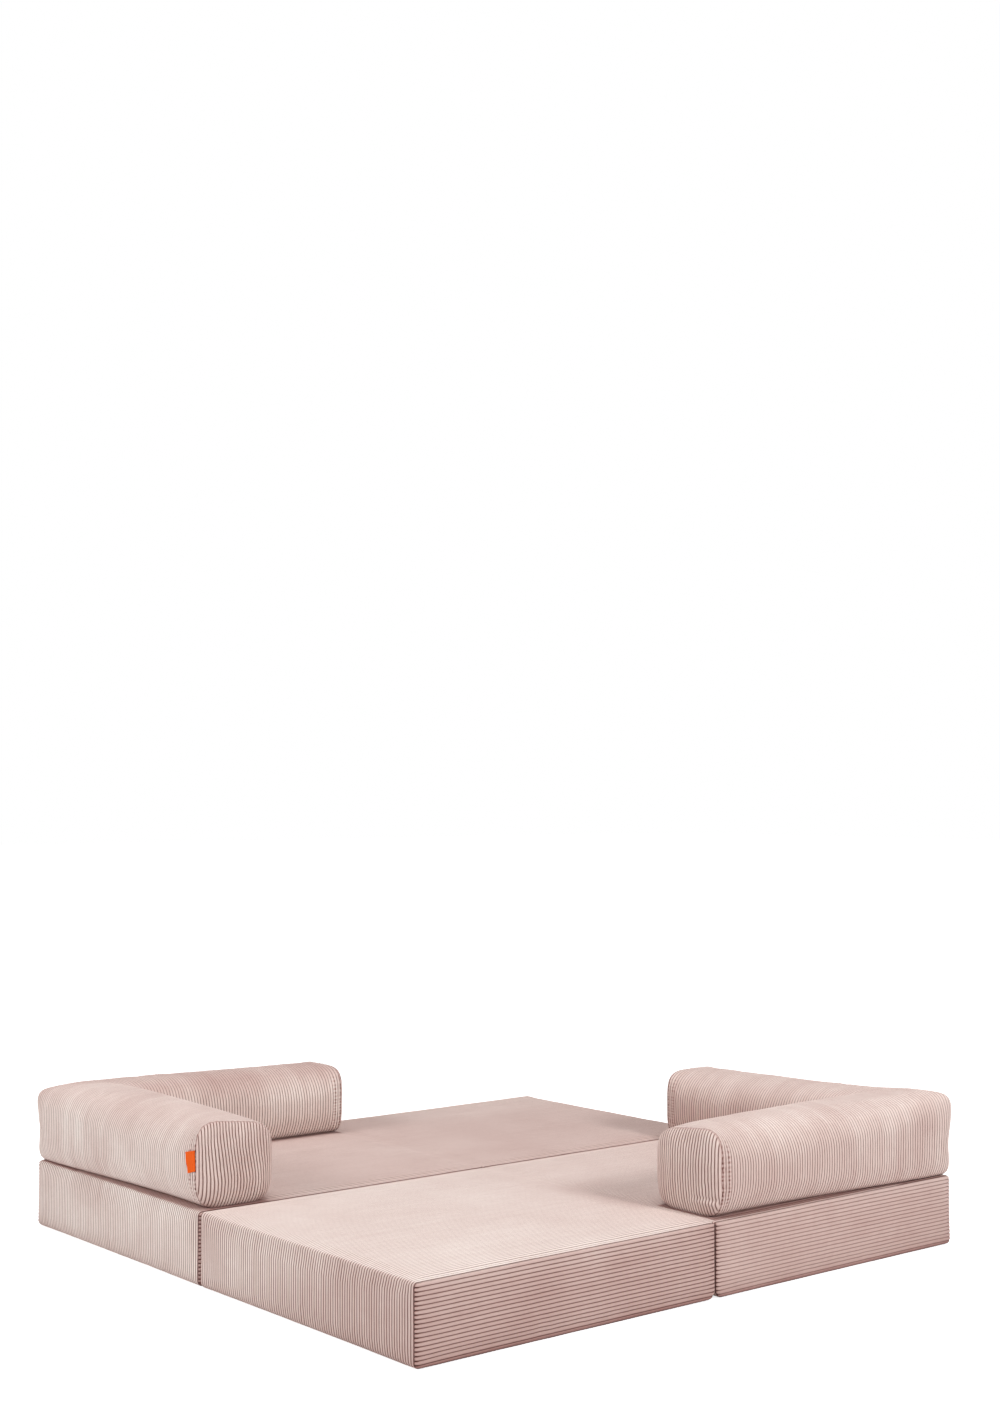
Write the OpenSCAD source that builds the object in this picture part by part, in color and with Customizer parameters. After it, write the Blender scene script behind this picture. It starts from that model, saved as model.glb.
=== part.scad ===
// Corduroy fold-out sofa, laid out flat as a double bed.
// Two equal units lie side by side. A unit is a base panel, a flap panel that a strip of
// cloth joins to it, and a loose L-shaped bolster that stands on the base panel.
// The rear unit is the front unit turned by half a turn.
// Origin: on the floor, at the middle of the bed. +X runs along the units, from the flap to
// the base of the front one, +Y runs from the front unit to the rear unit, +Z is up.

/* [Panels] */
// Length of one panel along its unit
panel_len = 998; // [800:1:1200]
// Depth of one panel across its unit
panel_dep = 976; // [800:1:1200]
// Height of a panel at its top edges
panel_h = 204; // [150:1:260]
// How far the top swells above its edges
top_crown = 4; // [1:0.5:6]
// How flat the swollen top is, where more keeps the fall nearer to the edges
crown_power = 6; // [2:1:8]
// How far the outer sides draw in between the corners
outer_draw = 4; // [0:0.5:6]
// How far the sides that face another panel draw in
inner_draw = 1; // [0:0.5:2]
// Rounding of the outer top edges
top_edge_r = 24; // [12:1:30]
// Rounding of the bottom edges
bottom_edge_r = 18; // [10:1:24]
// Rounding of the top edge beside the other unit
seam_edge_r = 10; // [6:0.5:14]
// Rounding of the top edge at the fold
fold_edge_r = 6; // [4:0.5:8]
// Rounding of the upright corners, seen from above
corner_r = 12; // [8:1:20]
// Thickness of the quilted corduroy cover round the foam
cover_t = 12; // [10:0.5:18]
// Gap between the two panels of a unit
fold_gap = 4; // [2:0.5:8]
// Gap between the two units
unit_gap = 4; // [2:0.5:12]

/* [Fold] */
// Height of the fold's axis above the crowned tops
fold_axis_lift = 0.5; // [0.3:0.1:2]
// Thickness of the fold cloth
fold_cloth_t = 1.5; // [1:0.1:2.5]
// How far the fold cloth stops short of the panels' corners
fold_cloth_margin = 14; // [8:1:40]

/* [Bolsters] */
// Width of a bolster's arm
bolster_w = 250; // [180:1:320]
// Height of a bolster
bolster_h = 232; // [180:1:300]
// How much of the round underside is pressed flat
bolster_sag = 5; // [2:0.5:10]
// Squareness of the section's upper half at the corner, where 2 is an ellipse
squareness = 7; // [3:0.1:8]
// Squareness of the section's lower half at the corner
foot_squareness = 9; // [4:0.5:12]
// Squareness of the section's upper half at the end caps
end_squareness = 2.9; // [2.6:0.1:6]
// Squareness of the section's lower half at the end caps
end_foot_squareness = 6; // [3:0.5:10]
// How long an arm stays round before it squares up towards the corner
square_run = 3; // [1:0.5:5]
// How much lower an arm is at its end cap than at the corner
end_drop = 10; // [0:1:20]
// How far the bolster's outer sides stand in from the panel's sides
bolster_inset = 1; // [0:0.5:20]
// Gap from the panel's edge to the arm's end
arm_end_gap = 0; // [0:0.5:20]
// Rounding of the outer corner, seen from above
outer_turn_r = 15; // [12:1:60]
// Rounding of the inner corner, seen from above
inner_turn_r = 10; // [6:1:30]
// Thickness of the bolster's cover round the foam
sleeve_t = 12; // [10:0.5:16]
// Rounding along the bolster foam's edges
bolster_foam_r = 60; // [45:1:70]

/* [End caps] */
// Depth of an end cap from its seam to its crown
cap_depth = 25; // [12:1:30]
// How round a cap is, where less keeps its face flatter
cap_roundness = 0.4; // [0.2:0.05:0.6]
// How far the seam draws the arm's end in
seam_pinch = 2; // [0.5:0.5:4]
// Length of sleeve over which the seam's pull fades
pinch_run = 8; // [4:1:20]

/* [Zips] */
// Length of a panel's zip
panel_zip_len = 760; // [300:1:760]
// Height of the panel zip's middle above the floor
panel_zip_z = 60; // [45:1:90]
// Length of a bolster's zip
bolster_zip_len = 560; // [200:1:600]
// Distance from the arm's end to the bolster's zip
bolster_zip_start = 110; // [60:1:140]
// Width of the pleat that hides a zip
zip_pleat_w = 26; // [24:1:34]
// Depth of the pleat that hides a zip
zip_pleat_d = 6; // [5.5:0.1:7]
// Width of the zip's tape
zip_tape_w = 22; // [16:1:22]
// Thickness of the zip's tape
zip_tape_t = 1; // [0.6:0.1:1.2]
// Width of the zip's chain
zip_chain_w = 5; // [3:0.5:7]
// Thickness of the zip's chain
zip_chain_t = 1.6; // [1:0.1:2]
// Length of the slider
slider_len = 14; // [8:1:24]
// Width of the slider
slider_w = 10; // [9:0.5:14]
// Thickness of the slider's top plate
slider_plate_t = 1.4; // [0.8:0.1:1.6]
// Length of the stop at each end of the chain
zip_stop_len = 3; // [2:0.5:6]
// How far a stop reaches past the chain on each side
zip_stop_side = 1; // [0.5:0.5:2]

/* [Tag] */
// Length of the tag away from its seam
tag_len = 34; // [20:1:50]
// Height of the tag
tag_h = 58; // [30:1:80]
// Thickness of the folded tag
tag_t = 1.2; // [0.8:0.1:2]
// Height of the tag's middle above the bolster's underside
tag_z = 130; // [80:1:160]

/* [Fits] */
// Gap between a piece of foam and its cover
foam_fit = 0.3; // [0.2:0.1:1]
// Gap between soft pieces that lie on each other
soft_gap = 0.3; // [0.2:0.1:1]
// Gap round the zip's slider
slider_fit = 0.3; // [0.2:0.1:0.5]

/* [Hidden] */

corduroy = [0.86, 0.76, 0.73];
cap_corduroy = [0.78, 0.67, 0.64];
foam_cream = [0.95, 0.92, 0.80];
tape_pink = [0.72, 0.60, 0.57];
zip_metal = [0.66, 0.64, 0.62];
tag_orange = [0.93, 0.38, 0.16];

// Facets of the soft forms
corner_steps = 3;
side_steps = 6;
round_steps = 4;
crown_steps = 4;
section_points = 28;
arm_steps = 6;
turn_steps = 3;
cap_steps = 4;
cap_arc = 80;
round_fn = 48;

eps = 1;
floor_cut = 0.5;
crown_corner_r = corner_r / 3;

fold_axis_z = panel_h + top_crown + fold_axis_lift;
bolster_seat_share = 1 - 2 * bolster_w / max(panel_len, panel_dep);
bolster_z = panel_h + crown_rise(bolster_seat_share) + soft_gap;
long_arm_len = panel_len - bolster_inset - arm_end_gap;
short_arm_len = panel_dep - bolster_inset - arm_end_gap;
section_h = bolster_h + bolster_sag;
slider_t = zip_chain_t + slider_plate_t;

// Closes rings of points, listed from one end to the other, into one solid
module ringed_solid(rings) {
    n = len(rings[0]);
    count = len(rings);
    sides = [for (k = [0:count - 2], i = [0:n - 1]) each [
        [k * n + i, (k + 1) * n + (i + 1) % n, k * n + (i + 1) % n],
        [k * n + i, (k + 1) * n + i, (k + 1) * n + (i + 1) % n]
    ]];
    first_end = [for (i = [0:n - 1]) i];
    last_end = [for (i = [n - 1:-1:0]) (count - 1) * n + i];
    polyhedron(
        points = [for (ring = rings, p = ring) p],
        faces = concat(sides, [first_end], [last_end]),
        convexity = 6
    );
}

// How far a rounded edge has stepped in at a depth below the face it leads to
function edge_step(depth, r) = depth >= r ? 0 : r - sqrt(r * r - pow(r - depth, 2));

// A rectangle with round corners whose four sides draw in; sides are +X, +Y, -X, -Y
function drawn_outline(low, high, r, z, draw) = [
    for (side = [0:3])
        let (
            a0 = 90 * side - 90,
            next = (side + 1) % 4,
            corner = [side < 2 ? high.x - r : low.x + r,
                      side == 1 || side == 2 ? high.y - r : low.y + r],
            ahead = [next < 2 ? high.x - r : low.x + r,
                     next == 1 || next == 2 ? high.y - r : low.y + r],
            out = [cos(a0 + 90), sin(a0 + 90)],
            arc = [for (k = [0:corner_steps])
                corner + r * [cos(a0 + 90 * k / corner_steps), sin(a0 + 90 * k / corner_steps)]],
            from = corner + r * out,
            to = ahead + r * out,
            straight = [for (k = [1:side_steps - 1]) let (t = k / side_steps)
                from + (to - from) * t - out * draw[side] * 4 * t * (1 - t)]
        )
        for (p = concat(arc, straight)) [p.x, p.y, z]
];

// One level of a panel's side, with each edge stepped in by its own rounding
function panel_level(z) =
    let (
        top = panel_h - z,
        foot = edge_step(z + floor_cut, bottom_edge_r),
        outer = edge_step(top, top_edge_r) + foot,
        fold = edge_step(top, fold_edge_r) + foot,
        seam = edge_step(top, seam_edge_r) + foot,
        r = max(corner_r - outer / 2, crown_corner_r)
    )
    drawn_outline([fold, outer], [panel_len - outer, panel_dep - seam], r, z,
        [outer_draw, inner_draw, inner_draw, outer_draw]);

// How far the top has risen, where share is 1 at the rounded edge and 0 in the middle
function crown_rise(share) = top_crown * (1 - pow(share, crown_power));

// One ring of a panel's crown
function crown_ring(share) =
    let (
        low = [fold_edge_r, top_edge_r],
        high = [panel_len - top_edge_r, panel_dep - seam_edge_r],
        mid = (low + high) / 2
    )
    drawn_outline(mid + (low - mid) * share, mid + (high - mid) * share, crown_corner_r,
        panel_h + crown_rise(share),
        [outer_draw, inner_draw, inner_draw, outer_draw] * share);

// A panel's outer form: fold edge on x = 0, outer long side on y = 0, standing on the floor
module panel_form() {
    foot_levels = [for (k = [0:round_steps - 1])
        bottom_edge_r * (1 - cos(90 * k / (round_steps - 1))) - floor_cut];
    top_levels = [for (k = [0:round_steps])
        panel_h - top_edge_r * (1 - sin(90 * k / round_steps))];
    middle = (bottom_edge_r + panel_h - top_edge_r) / 2;
    rings = concat(
        [for (z = concat(foot_levels, [middle], top_levels)) panel_level(z)],
        [for (k = [crown_steps - 1:-1:1]) crown_ring(k / crown_steps)]
    );
    difference() {
        ringed_solid(rings);
        translate([-eps, -eps, -floor_cut - eps])
            cube([panel_len + 2 * eps, panel_dep + 2 * eps, floor_cut + eps]);
    }
}

// The block of foam inside a panel, or with a margin the room for it
module panel_block(margin = 0) {
    inset = cover_t + foam_fit - margin;
    translate([inset, inset, inset])
        cube([panel_len - 2 * inset, panel_dep - 2 * inset, panel_h - 2 * inset]);
}

// Puts a zip's frame on the panel's side that faces the other unit: z points out of the pleat
module on_panel_zip() {
    translate([(panel_len - panel_zip_len) / 2, panel_dep - inner_draw - zip_pleat_d, panel_zip_z])
        rotate([-90, 0, 0])
            children();
}

module panel_cover() {
    color(corduroy)
        difference() {
            panel_form();
            panel_block(foam_fit);
            on_panel_zip() zip_pleat(panel_zip_len);
        }
}

module panel_foam() {
    color(foam_cream) panel_block();
}

module panel_zip() {
    on_panel_zip() zip_tape(panel_zip_len);
}

module panel_zip_slider() {
    on_panel_zip() zip_slider();
}

// The room for a zip: x along it, z out of the pleat's floor
module zip_pleat(length) {
    translate([-eps, -zip_pleat_w / 2, 0])
        cube([length + 2 * eps, zip_pleat_w, zip_pleat_d + inner_draw + bolster_sag + eps]);
}

// Tape, chain and the stops at both ends of the chain
module zip_tape(length) {
    stop_w = zip_chain_w + 2 * zip_stop_side;
    color(tape_pink) {
        translate([0, -zip_tape_w / 2, 0])
            cube([length, zip_tape_w, zip_tape_t]);
        translate([zip_stop_len, -zip_chain_w / 2, 0])
            cube([length - 2 * zip_stop_len, zip_chain_w, zip_tape_t + zip_chain_t]);
        for (x = [0, length - zip_stop_len])
            translate([x, -stop_w / 2, 0])
                cube([zip_stop_len, stop_w, zip_tape_t + zip_chain_t + slider_fit]);
    }
}

// The slider straddles the chain and stands at the closed end
module zip_slider() {
    slot_w = zip_chain_w + 2 * slider_fit;
    base = zip_tape_t + slider_fit;
    color(zip_metal)
        translate([zip_stop_len + slider_fit, -slider_w / 2, base])
            difference() {
                cube([slider_len, slider_w, slider_t]);
                translate([-eps, (slider_w - slot_w) / 2, -eps])
                    cube([slider_len + 2 * eps, slot_w, zip_chain_t + eps]);
            }
}

// Cloth that bridges the groove at the top of the fold, tucked between the two rounded edges
module fold_cloth() {
    half_top = fold_gap / 2 + fold_edge_r - soft_gap;
    half_low = fold_gap / 2 + edge_step(fold_cloth_t, fold_edge_r) - soft_gap;
    color(corduroy)
        translate([0, -unit_gap / 2 - fold_cloth_margin, 0])
            rotate([90, 0, 0])
                linear_extrude(panel_dep - 2 * fold_cloth_margin)
                    polygon([
                        [-half_top, panel_h], [-half_low, panel_h - fold_cloth_t],
                        [half_low, panel_h - fold_cloth_t], [half_top, panel_h]
                    ]);
}

// A sine or cosine pushed out towards the square
function lobe(value, power) = sign(value) * pow(abs(value), 2 / power);

// Point of an arm's section at angle a: how far it is in from the outer side, and how high;
// share is 0 at the end cap and 1 where the corner's turn begins
function section_point(a, shrink, share) =
    let (
        upper = sin(a) > 0,
        at_end = upper ? end_squareness : end_foot_squareness,
        at_corner = upper ? squareness : foot_squareness,
        power = at_end + (at_corner - at_end) * pow(share, square_run),
        half_h = section_h / 2 - (upper ? end_drop * pow(1 - share, 2) : 0),
        across = (bolster_w / 2 - shrink) * lobe(cos(a), power),
        up = (half_h - shrink) * lobe(sin(a), power)
    )
    [bolster_w / 2 - across, max(section_h / 2 + up - bolster_sag, 0)];

function arm_section(shrink, share) =
    [for (i = [0:section_points - 1]) section_point(360 * i / section_points, shrink, share)];

// A straight ring of an arm, share of the way from its seam to where each line starts to turn
function arm_ring(length, share, shrink) = [
    for (p = arm_section(shrink, share))
        let (
            r = outer_turn_r + (inner_turn_r - outer_turn_r) * p.x / bolster_w,
            seam = cap_depth - length
        )
        [seam + share * (-(p.x + r) - seam), p.x, p.y]
];

// A ring of the turn towards the mitre
function turn_ring(a) = [
    for (p = arm_section(0, 1))
        let (r = outer_turn_r + (inner_turn_r - outer_turn_r) * p.x / bolster_w)
        [-(p.x + r) + r * sin(a), p.x + r - r * cos(a), p.y]
];

// One arm up to the mitre at the bolster's outer corner, which is the origin; it runs along -X
module arm_form(length) {
    rings = concat(
        [arm_ring(length, 0, seam_pinch)],
        [arm_ring(length, pinch_run / length, 0)],
        [for (k = [1:arm_steps]) arm_ring(length, k / arm_steps, 0)],
        [for (k = [1:turn_steps]) turn_ring(45 * k / turn_steps)]
    );
    ringed_solid(rings);
}

// A cap swells out from its seam: each ring is drawn in further as it nears the crown
module cap_form(length) {
    rings = [for (k = [0:cap_steps])
        let (
            a = cap_arc * k / cap_steps,
            shrink = seam_pinch + (bolster_h / 2 - seam_pinch) * (1 - pow(cos(a), cap_roundness)),
            out = cap_depth * (1 - sin(a) / sin(cap_arc))
        )
        [for (p = arm_section(shrink, 0)) [out - length, p.x, p.y]]
    ];
    ringed_solid(rings);
}

module rounded_bar_section(w, h, r) {
    square([w - 2 * r, h], center = true);
    square([w, h - 2 * r], center = true);
    for (x = [-1, 1], y = [-1, 1])
        translate([x * (w / 2 - r), y * (h / 2 - r)])
            circle(r, $fn = round_fn);
}

// One bar of the bolster's foam, cut at the mitre
module foam_bar(length, margin) {
    inset = sleeve_t + foam_fit - margin;
    w = bolster_w - 2 * inset;
    h = bolster_h - 2 * inset - end_drop;
    end = cap_depth + foam_fit - margin;
    intersection() {
        translate([end - length, bolster_w / 2, inset + h / 2])
            rotate([90, 0, 90])
                linear_extrude(length - end)
                    rounded_bar_section(w, h, bolster_foam_r - foam_fit + margin);
        translate([0, 0, -eps])
            linear_extrude(bolster_h + 2 * eps)
                polygon([[-length, 0], [0, 0], [-bolster_w, bolster_w], [-length, bolster_w]]);
    }
}

// Swaps the long arm's frame for the short arm's, across the mitre
module across_mitre() {
    mirror([1, 1, 0]) children();
}

module bolster_foam_form(margin = 0) {
    foam_bar(long_arm_len, margin);
    across_mitre() foam_bar(short_arm_len, margin);
}

// Puts a zip's frame under the long arm: z points down, out of the pleat
module on_bolster_zip() {
    translate([bolster_zip_start - long_arm_len, bolster_w / 2, zip_pleat_d])
        rotate([180, 0, 0])
            children();
}

module bolster_long_sleeve() {
    color(corduroy)
        difference() {
            arm_form(long_arm_len);
            bolster_foam_form(foam_fit);
            on_bolster_zip() zip_pleat(bolster_zip_len);
        }
}

module bolster_short_sleeve() {
    color(corduroy)
        difference() {
            across_mitre() arm_form(short_arm_len);
            bolster_foam_form(foam_fit);
        }
}

module bolster_foam() {
    color(foam_cream) bolster_foam_form();
}

module bolster_long_end_cap() {
    color(cap_corduroy) cap_form(long_arm_len);
}

module bolster_short_end_cap() {
    color(cap_corduroy) across_mitre() cap_form(short_arm_len);
}

module bolster_zip() {
    on_bolster_zip() zip_tape(bolster_zip_len);
}

module bolster_zip_slider() {
    on_bolster_zip() zip_slider();
}

// The tag lies against the short arm's outer side, with its edge in the end cap's seam
module bolster_tag() {
    color(tag_orange)
        translate([soft_gap, short_arm_len - cap_depth - tag_len, tag_z - tag_h / 2])
            cube([tag_t, tag_len, tag_h]);
}

// Places of the pieces in the front unit
module front_base() {
    translate([fold_gap / 2, -unit_gap / 2 - panel_dep, 0]) children();
}

module front_flap() {
    mirror([1, 0, 0]) front_base() children();
}

module front_bolster() {
    front_base()
        translate([panel_len - bolster_inset, bolster_inset, bolster_z])
            children();
}

module rear_unit() {
    rotate([0, 0, 180]) children();
}

front_flap() panel_cover();  // near_panel_cover
front_flap() panel_foam();  // near_panel_foam
front_flap() panel_zip();  // near_panel_zip
front_flap() panel_zip_slider();  // near_panel_zip_slider
front_base() panel_cover();  // right_panel_cover
front_base() panel_foam();  // right_panel_foam
front_base() panel_zip();  // right_panel_zip
front_base() panel_zip_slider();  // right_panel_zip_slider
fold_cloth();  // front_fold_cloth
front_bolster() bolster_long_sleeve();  // right_bolster_long_sleeve
front_bolster() bolster_short_sleeve();  // right_bolster_short_sleeve
front_bolster() bolster_foam();  // right_bolster_foam
front_bolster() bolster_long_end_cap();  // right_bolster_long_end_cap
front_bolster() bolster_short_end_cap();  // right_bolster_short_end_cap
front_bolster() bolster_zip();  // right_bolster_zip
front_bolster() bolster_zip_slider();  // right_bolster_zip_slider
front_bolster() bolster_tag();  // right_bolster_tag
rear_unit() front_flap() panel_cover();  // rear_panel_cover
rear_unit() front_flap() panel_foam();  // rear_panel_foam
rear_unit() front_flap() panel_zip();  // rear_panel_zip
rear_unit() front_flap() panel_zip_slider();  // rear_panel_zip_slider
rear_unit() front_base() panel_cover();  // left_panel_cover
rear_unit() front_base() panel_foam();  // left_panel_foam
rear_unit() front_base() panel_zip();  // left_panel_zip
rear_unit() front_base() panel_zip_slider();  // left_panel_zip_slider
rear_unit() fold_cloth();  // rear_fold_cloth
rear_unit() front_bolster() bolster_long_sleeve();  // left_bolster_long_sleeve
rear_unit() front_bolster() bolster_short_sleeve();  // left_bolster_short_sleeve
rear_unit() front_bolster() bolster_foam();  // left_bolster_foam
rear_unit() front_bolster() bolster_long_end_cap();  // left_bolster_long_end_cap
rear_unit() front_bolster() bolster_short_end_cap();  // left_bolster_short_end_cap
rear_unit() front_bolster() bolster_zip();  // left_bolster_zip
rear_unit() front_bolster() bolster_zip_slider();  // left_bolster_zip_slider
rear_unit() front_bolster() bolster_tag();  // left_bolster_tag
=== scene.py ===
"""Corduroy fold-out sofa laid flat as a bed: ribbed covers, bolsters, seams, zips and tags."""
import math

import bmesh
import bpy
import numpy as np
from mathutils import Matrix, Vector
from mathutils.kdtree import KDTree


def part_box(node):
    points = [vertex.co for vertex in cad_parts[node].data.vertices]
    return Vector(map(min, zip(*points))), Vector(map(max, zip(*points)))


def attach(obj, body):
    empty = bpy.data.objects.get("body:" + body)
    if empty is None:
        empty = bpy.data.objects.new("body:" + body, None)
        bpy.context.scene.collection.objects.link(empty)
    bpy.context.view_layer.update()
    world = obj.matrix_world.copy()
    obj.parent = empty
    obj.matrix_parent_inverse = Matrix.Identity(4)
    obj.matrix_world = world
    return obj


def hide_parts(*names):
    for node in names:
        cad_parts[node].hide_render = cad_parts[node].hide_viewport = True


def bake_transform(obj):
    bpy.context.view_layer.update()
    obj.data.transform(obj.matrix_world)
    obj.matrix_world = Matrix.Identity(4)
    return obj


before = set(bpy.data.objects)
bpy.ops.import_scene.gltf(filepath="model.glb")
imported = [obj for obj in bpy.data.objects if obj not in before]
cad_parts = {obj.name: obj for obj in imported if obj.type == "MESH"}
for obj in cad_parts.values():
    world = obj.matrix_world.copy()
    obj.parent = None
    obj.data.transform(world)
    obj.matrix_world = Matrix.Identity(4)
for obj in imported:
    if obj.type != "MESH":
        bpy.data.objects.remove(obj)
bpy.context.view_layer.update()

MM = 0.001
WELD = 0.01 * MM

# Panels: sizes in metres, and the power by which the top's crown falls to its edges
PANEL_LOW, PANEL_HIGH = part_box("right_panel_cover")
PANEL_LEN = PANEL_HIGH.x - PANEL_LOW.x
PANEL_DEP = PANEL_HIGH.y - PANEL_LOW.y
PANEL_H = 204 * MM
TOP_CROWN = 4 * MM
CROWN_POWER = 6
HALF_FOLD_GAP = PANEL_LOW.x
HALF_UNIT_GAP = -PANEL_HIGH.y
END_TOP_R = 13 * MM
BOTTOM_R = 18 * MM
FOLD_BOTTOM_R = 26 * MM
FOLD_TOP_R = 6 * MM
LONG_EDGE_R = 10 * MM
UNIT_EDGE_R = 10 * MM
OUTER_DRAW = 4 * MM
INNER_DRAW = 1 * MM
FOLD_CLOTH_MARGIN = 14 * MM
FOLD_CLOTH_T = 2.6 * MM
FOLD_CLOTH_SINK = 0.2 * MM
FOLD_EDGE_SINK = 0.8 * MM
SNUG = 1.4 * MM

# Bolsters: sizes in metres, and how many ribs a cap and gathers its seam has
BOLSTER_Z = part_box("right_bolster_long_sleeve")[0].z
BOLSTER_W = 250 * MM
BOLSTER_H = 232 * MM
BOLSTER_SAG = 5 * MM
# Squareness of the section's upper and lower half at a cap's seam, along an arm and at the corner,
# and how late along the arm it grows
SEAM_SQUARENESS = (4.2, 4.2)
ARM_SQUARENESS = (2.6, 3.8)
CORNER_SQUARENESS = (7.0, 9.0)
SQUARE_RUN = 3
END_DROP = 10 * MM
CAP_TILT = 16 * MM
TILT_RUN = 100 * MM
FILL = 9 * MM
BOLSTER_INSET = 1 * MM
OUTER_TURN_R = 15 * MM
INNER_TURN_R = 10 * MM
CAP_DEPTH = 25 * MM
CAP_RIBS = 26
CAP_SHRINK = 2.5 * MM
CAP_TUCK = 5 * MM
SLEEVE_TUCK = 7 * MM
BEHIND_SEAM = 0.6 * MM
TUCK_Z = 34 * MM
GATHERS = 38
LONG_ARM = PANEL_LEN - BOLSTER_INSET
SHORT_ARM = PANEL_DEP - BOLSTER_INSET

# Zips and the pleats they lie in: sizes in metres
ZIP_LEN = 760 * MM
ZIP_Z = 60 * MM
ZIP_PLEAT_W = 26 * MM
ZIP_PLEAT_D = 5.7 * MM
PLEAT_SLOPE = 3 * MM
BOLSTER_ZIP_LEN = 560 * MM
BOLSTER_ZIP_START = 110 * MM

# The cloth simulation
CLOTH_STIFFNESS = 12
CLOTH_BENDING = 0.5
CLOTH_PRESSURE = 4.0
CLOTH_STEPS = 20
LEAST_SLACK = 0.003
MOST_SLACK = 0.04

# The corduroy: a rib's width and height, its roundness, where a rib has points, and the seams
RIB_W = 10.3 * MM
RIB_HEIGHT = 2.2 * MM
RIB_ROUNDNESS = 3.6
RIB_STOPS = (-0.5, -0.43, -0.33, -0.18, 0.0, 0.18, 0.33, 0.43)
SEAM_ANGLE = math.radians(65)
SEAM_HALF_ANGLE = math.radians(6)
SEAM_DEPTH = 3.5 * MM


def placed(name, data):
    """A new object in the scene for a mesh, a lamp or a camera."""
    made = bpy.data.objects.new(name, data)
    bpy.context.collection.objects.link(made)
    return made


# Camera

FOCAL_PIXELS = 1928
PHOTO_HEIGHT = 1417
SENSOR = 36
CAMERA_PLACE = (-3.734, -4.617, 1.351)
CAMERA_LIFT = math.radians(90 + 2.44)
CAMERA_TURN = math.radians(-39.41)


def make_camera():
    data = bpy.data.cameras.new("camera")
    data.sensor_width = SENSOR
    data.lens = FOCAL_PIXELS / PHOTO_HEIGHT * SENSOR
    data.clip_start = 0.05
    data.clip_end = 60
    camera = placed("camera", data)
    camera.location = CAMERA_PLACE
    camera.rotation_euler = (CAMERA_LIFT, 0, CAMERA_TURN)
    bpy.context.scene.camera = camera


make_camera()


# Node trees

class Tree:
    """A node tree that takes nodes by type, with settings first and then the values of its sockets."""

    def __init__(self, tree):
        self.tree = tree

    def node(self, kind, inputs=None, out=0, **settings):
        made = self.tree.nodes.new(kind)
        for name, value in settings.items():
            setattr(made, name, value)
        for key, value in (inputs or {}).items():
            if isinstance(value, Link):
                self.tree.links.new(value.socket, made.inputs[key])
            else:
                made.inputs[key].default_value = value
        return Link(self, made, out)

    def maths(self, operation, *values, **settings):
        return self.node("ShaderNodeMath", dict(enumerate(values)), operation=operation, **settings)

    def mix_colour(self, share, first, second):
        return self.node("ShaderNodeMix", {0: share, 6: first, 7: second}, out=2, data_type="RGBA")

    def scaled(self, vector, scale):
        return self.node("ShaderNodeVectorMath", {0: vector, 3: scale}, operation="SCALE")

    def noise(self, place, scale, detail):
        return self.node("ShaderNodeTexNoise", {"Vector": place, "Scale": scale, "Detail": detail})

    def object_place(self):
        return self.node("ShaderNodeTexCoord").out("Object")

    def attribute(self, name):
        return self.node("ShaderNodeAttribute", attribute_name=name).out("Fac")

    def point_value(self, name):
        return self.node("GeometryNodeInputNamedAttribute", {"Name": name}, data_type="FLOAT")

    def clad(self, geometry, material):
        """Real geometry in place of instances, in a material."""
        real = self.node("GeometryNodeRealizeInstances", {"Geometry": geometry})
        return self.node("GeometryNodeSetMaterial", {"Geometry": real, "Material": material})

    def from_middle(self, count):
        """How far a running count is from the middle of its step: 0 there and 1 at both ends."""
        return self.maths("ABSOLUTE", self.maths("FRACT", count) - 0.5) * 2.0


class Link:
    """One output socket; arithmetic on it adds Math nodes."""

    def __init__(self, tree, made, out):
        self.tree, self.made = tree, made
        self.socket = made.outputs[out] if len(made.outputs) else None

    def out(self, key):
        return Link(self.tree, self.made, key)

    def __add__(self, other):
        return self.tree.maths("ADD", self, other)

    __radd__ = __add__

    def __sub__(self, other):
        return self.tree.maths("SUBTRACT", self, other)

    def __rsub__(self, other):
        return self.tree.maths("SUBTRACT", other, self)

    def __mul__(self, other):
        return self.tree.maths("MULTIPLY", self, other)

    __rmul__ = __mul__

    def __truediv__(self, other):
        return self.tree.maths("DIVIDE", self, other)

    def __pow__(self, other):
        return self.tree.maths("POWER", self, other)

    def clamp(self):
        return self.tree.maths("ADD", self, 0.0, use_clamp=True)

    def smooth(self, low, high):
        return self.tree.node("ShaderNodeMapRange", {0: self, 1: low, 2: high, 3: 0.0, 4: 1.0},
                              interpolation_type="SMOOTHSTEP")


def linear(r, g, b):
    """A screen colour of 0 to 255 as the linear colour that the nodes take."""
    def one(value):
        value /= 255
        return value / 12.92 if value <= 0.04045 else ((value + 0.055) / 1.055) ** 2.4
    return (one(r), one(g), one(b), 1.0)


# Materials

def shader(name):
    material = bpy.data.materials.new(name)
    material.use_nodes = True
    material.node_tree.nodes.clear()
    tree = Tree(material.node_tree)
    return material, tree


def finish_shader(tree, surface):
    tree.node("ShaderNodeOutputMaterial", {"Surface": surface})


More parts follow.
